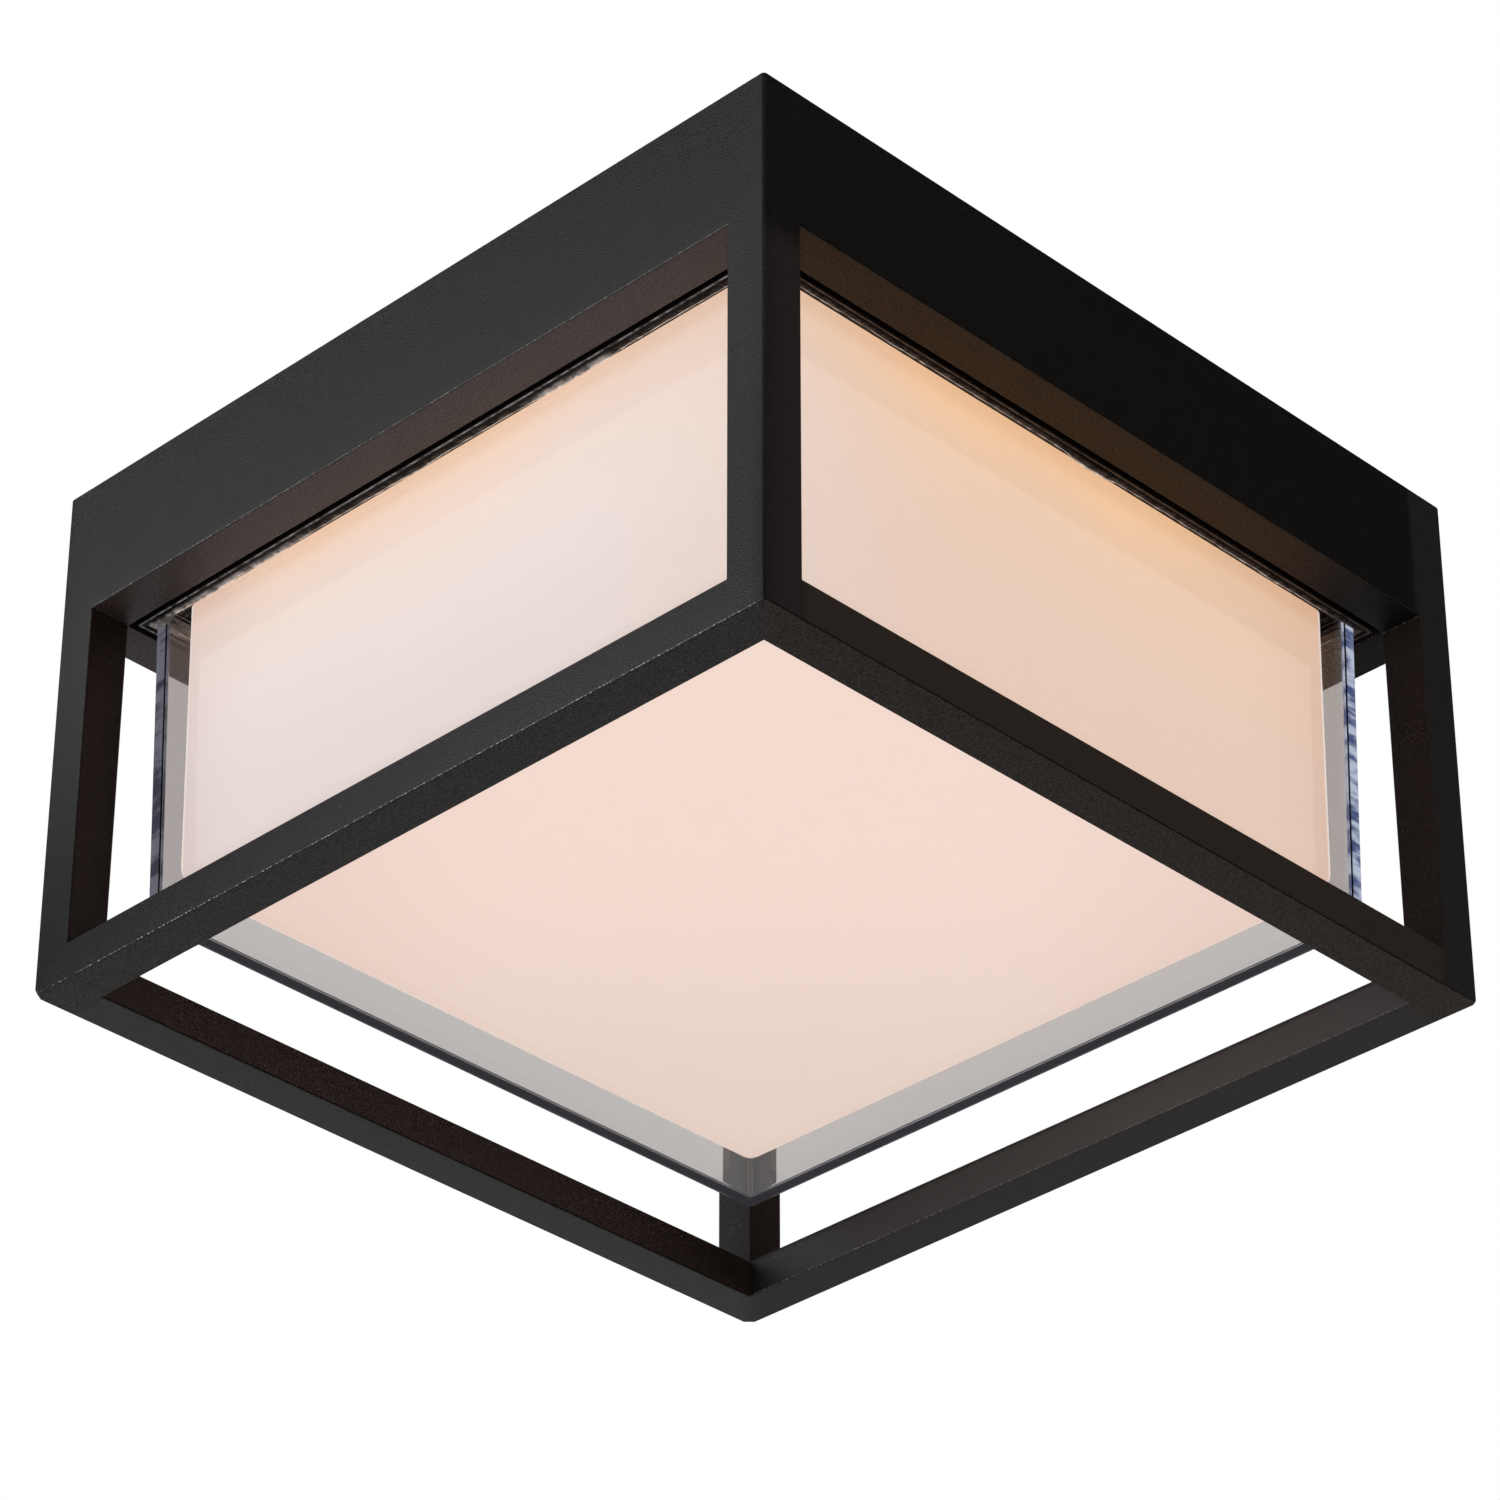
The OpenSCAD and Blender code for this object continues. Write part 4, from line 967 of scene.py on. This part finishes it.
# Driver: a white plastic tub filled with dark casting resin, which feeds the board. Two screws
# through its feet hold it on the tray.
tub_plastic, paint, place = start_finish("driver plastic")
coat(paint, grain(paint, place, 1400, 3), 0.00006,
     Base_Color=tint(paint, grain(paint, place, 40, 3), (0.68, 0.68, 0.64), (0.78, 0.78, 0.75)),
     Roughness=0.45 + 0.12 * grain(paint, place, 300, 2))
tub = from_cad("driver_case")
soften(tub, 0.5, 3)
finish_piece("driver_tub", tub, "lamp", [tub_plastic], ["driver_case"])

resin, paint, place = start_finish("casting resin")
cloud = grain(paint, place, 60, 3)
coat(paint, grain(paint, place, 90, 3), 0.0004,
     Base_Color=tint(paint, cloud, (0.012, 0.013, 0.015), (0.03, 0.032, 0.036)),
     Roughness=0.38 + 0.2 * grain(paint, place, 200, 3))
dress("driver_potting", resin)


# Terminal block and mains leads: a nylon block with three brass sleeves and their wire screws.
# The brown and blue leads run to it from the driver, the striped one to the tray's earth screw.
block = from_cad("terminal_block")
soften(block, 0.2, 2)
finish_piece("mains_terminal_block", block, "lamp", [nylon], ["terminal_block"])

block_low, block_high = box_in_mm("terminal_block")
earth_ring_low = box_in_mm("earth_ring_terminal")[0]
BLOCK_X = (block_low[0] + block_high[0]) / 2
BLOCK_FRONT = block_low[1]
POLE_PITCH = 10.0
SLEEVE_Z = TRAY_TOP + 6
LEAD_IN = 2.8
EARTH_Y = 18.6
BARREL_X = earth_ring_low[0]
BARREL_Z = TRAY_TOP + 1.8
MAINS_LEAD_D = 2.2
MAINS_LEADS_AT = 0.67


def mains_lead(pole, exit_y, inward):
    """Points of a lead from the driver's right end to one pole of the terminal block."""
    up = TRAY_TOP + MAINS_LEADS_AT * DRIVER_H
    right = DRIVER_X[1]
    x = BLOCK_X + pole * POLE_PITCH
    return [(right, exit_y, up), (right + 4.5, exit_y, up),
            (right + 14 - inward, exit_y + 4, up - 1),
            (right + 19 - inward * 1.6, exit_y + 14, up - 3),
            (right + 17 - inward * 2.2, -20, SLEEVE_Z + 1.5),
            (x + 14 - inward * 0.4, -3, SLEEVE_Z - 0.5), (x + 3, 11, SLEEVE_Z - 0.7),
            (x, BLOCK_FRONT - 12, SLEEVE_Z - 0.1), (x, BLOCK_FRONT - 5, SLEEVE_Z),
            (x, BLOCK_FRONT + LEAD_IN, SLEEVE_Z)]


wire("mains_lead_brown", mains_lead(-1, DRIVER_Y + 4, 5), MAINS_LEAD_D,
     [sleeve("brown sleeve", (0.13, 0.048, 0.018))], "live_lead")
wire("mains_lead_blue", mains_lead(0, DRIVER_Y - 4, 0), MAINS_LEAD_D,
     [sleeve("blue sleeve", (0.028, 0.12, 0.42))], "neutral_lead")
pole_x = BLOCK_X + POLE_PITCH
wire("earth_lead_striped",
     [(pole_x, BLOCK_FRONT + LEAD_IN, SLEEVE_Z), (pole_x, BLOCK_FRONT - 1, SLEEVE_Z),
      (pole_x, BLOCK_FRONT - 5, SLEEVE_Z - 0.2), (pole_x + 1.6, BLOCK_FRONT - 10, SLEEVE_Z - 1.2),
      (pole_x + 6, EARTH_Y + 1.6, BARREL_Z + 1.2), (pole_x + 11, EARTH_Y, BARREL_Z + 0.1),
      (BARREL_X - 3, EARTH_Y, BARREL_Z), (BARREL_X, EARTH_Y, BARREL_Z)],
     MAINS_LEAD_D,
     [sleeve("green sleeve", (0.03, 0.22, 0.035)), sleeve("yellow stripe", (0.66, 0.50, 0.02))],
     "earth_lead", striped=(1, 2, 3, 9, 10, 11))


# Terminal sleeves and earth connection: turned brass sleeves in the block, and on the tray a
# crimped ring terminal of tinned copper, held by a brass screw over a steel washer.
brass, paint, place = start_finish("turned brass")
coat(paint, grain(paint, place, 2200, 2), 0.00002,
     Base_Color=tint(paint, grain(paint, place, 200, 3), (0.62, 0.42, 0.14), (0.78, 0.57, 0.24)),
     Metallic=1.0, Roughness=0.24 + 0.2 * grain(paint, place, 300, 3))
dress("terminal_sleeves", brass)
head = from_cad("earth_screw")
soften(head, 0.15, 2)
finish_piece("earth_fixing_screw", head, "lamp", [brass], ["earth_screw"])

tinned, paint, place = start_finish("tinned copper")
coat(paint, grain(paint, place, 1800, 2), 0.00003,
     Base_Color=tint(paint, grain(paint, place, 300, 3), (0.60, 0.60, 0.58), (0.76, 0.75, 0.72)),
     Metallic=1.0, Roughness=0.34 + 0.16 * grain(paint, place, 400, 3))
dress("earth_ring_terminal", tinned)


# Clamp screws: two black steel set screws with a hexagon socket at the band's face and a cup
# point. They go through the cage's bosses and grip the plate's ear.
oxide, paint, place = start_finish("black oxide")
cloud = grain(paint, place, 500, 3)
coat(paint, grain(paint, place, 2500, 2), 0.00002,
     Base_Color=tint(paint, cloud, (0.03, 0.03, 0.032), (0.07, 0.068, 0.066)),
     Metallic=0.9, Roughness=0.36 + 0.14 * grain(paint, place, 600, 2))
for node in ("clamp_screw_left", "clamp_screw_right"):
    dress(node, oxide)


# Studio: a pale floor far below, a white surround, a dark drape that only reflections see, and
# three soft lamps from the left, from below and from above.
FLOOR_Z = -1.6
FLOOR_HALF = 5.0
DRAPE_R = 2.6
DRAPE_LOW = -0.3
DRAPE_H = 5.8
AIM = Vector((0, 0, -0.06))


def set_up(name, shape, material):
    """Makes a studio piece, which isn't part of the object, from a shape in metres."""
    mesh = bpy.data.meshes.new(name)
    shape.to_mesh(mesh)
    shape.free()
    mesh.materials.append(material)
    piece = bpy.data.objects.new(name, mesh)
    scene.collection.objects.link(piece)
    return piece


floor_paint, paint, place = start_finish("studio floor")
coat(paint, grain(paint, place, 3, 2), 0.001, Base_Color=(0.86, 0.86, 0.86), Roughness=0.8)
floor = bmesh.new()
bmesh.ops.create_grid(floor, x_segments=2, y_segments=2, size=FLOOR_HALF)
bmesh.ops.translate(floor, vec=(0, 0, FLOOR_Z), verts=floor.verts)
set_up("studio_floor", floor, floor_paint)

drape_paint, paint, place = start_finish("dark studio drape")
coat(paint, grain(paint, place, 6, 2), 0.002, Base_Color=(0.02, 0.02, 0.02), Roughness=0.9)
cloth = bmesh.new()
hem = bmesh.ops.create_circle(cloth, segments=48, radius=DRAPE_R)["verts"]
rim = once_each(edge for vert in hem for edge in vert.link_edges)
raised = bmesh.ops.extrude_edge_only(cloth, edges=rim)["geom"]
bmesh.ops.translate(cloth, vec=(0, 0, DRAPE_H),
                    verts=[item for item in raised if isinstance(item, bmesh.types.BMVert)])
bmesh.ops.translate(cloth, vec=(0, 0, DRAPE_LOW), verts=cloth.verts)
drape = set_up("studio_drape", cloth, drape_paint)
drape.visible_camera = False
drape.visible_diffuse = False
drape.visible_transmission = False
drape.visible_shadow = False

world = bpy.data.worlds.new("surround")
scene.world = world
world.use_nodes = True
world.node_tree.nodes.clear()
air = Shade(world.node_tree)
seen = (air.node("ShaderNodeLightPath", {}, {}, out="Is Camera Ray")
        + air.node("ShaderNodeLightPath", {}, {}, out="Is Glossy Ray")
        + air.node("ShaderNodeLightPath", {}, {}, out="Is Transmission Ray")).clamped()
plain = air.node("ShaderNodeBackground", {}, {"Color": (1, 1, 1), "Strength": 0.25})
white = air.node("ShaderNodeBackground", {}, {"Color": (1, 1, 1), "Strength": 1.0})
sky = air.node("ShaderNodeMixShader", {}, {0: seen, 1: plain, 2: white})
air.node("ShaderNodeOutputWorld", {}, {"Surface": sky})


def lamp(name, place, size, power, colour):
    """A square area lamp aimed at the middle of the object."""
    light = bpy.data.lights.new(name, "AREA")
    light.size = size
    light.energy = power
    light.color = colour
    holder = bpy.data.objects.new(name, light)
    holder.location = place
    holder.rotation_euler = (AIM - holder.location).to_track_quat("-Z", "Y").to_euler()
    scene.collection.objects.link(holder)


lamp("key_lamp", (-0.85, -1.55, 0.28), 0.9, 13.5, (1.0, 0.99, 1.0))
lamp("low_lamp", (-0.85, -0.75, -0.95), 0.8, 1.0, (1.0, 0.99, 0.98))
lamp("top_lamp", (0.0, 0.3, 2.0), 1.0, 4.5, (1.0, 1.0, 1.0))
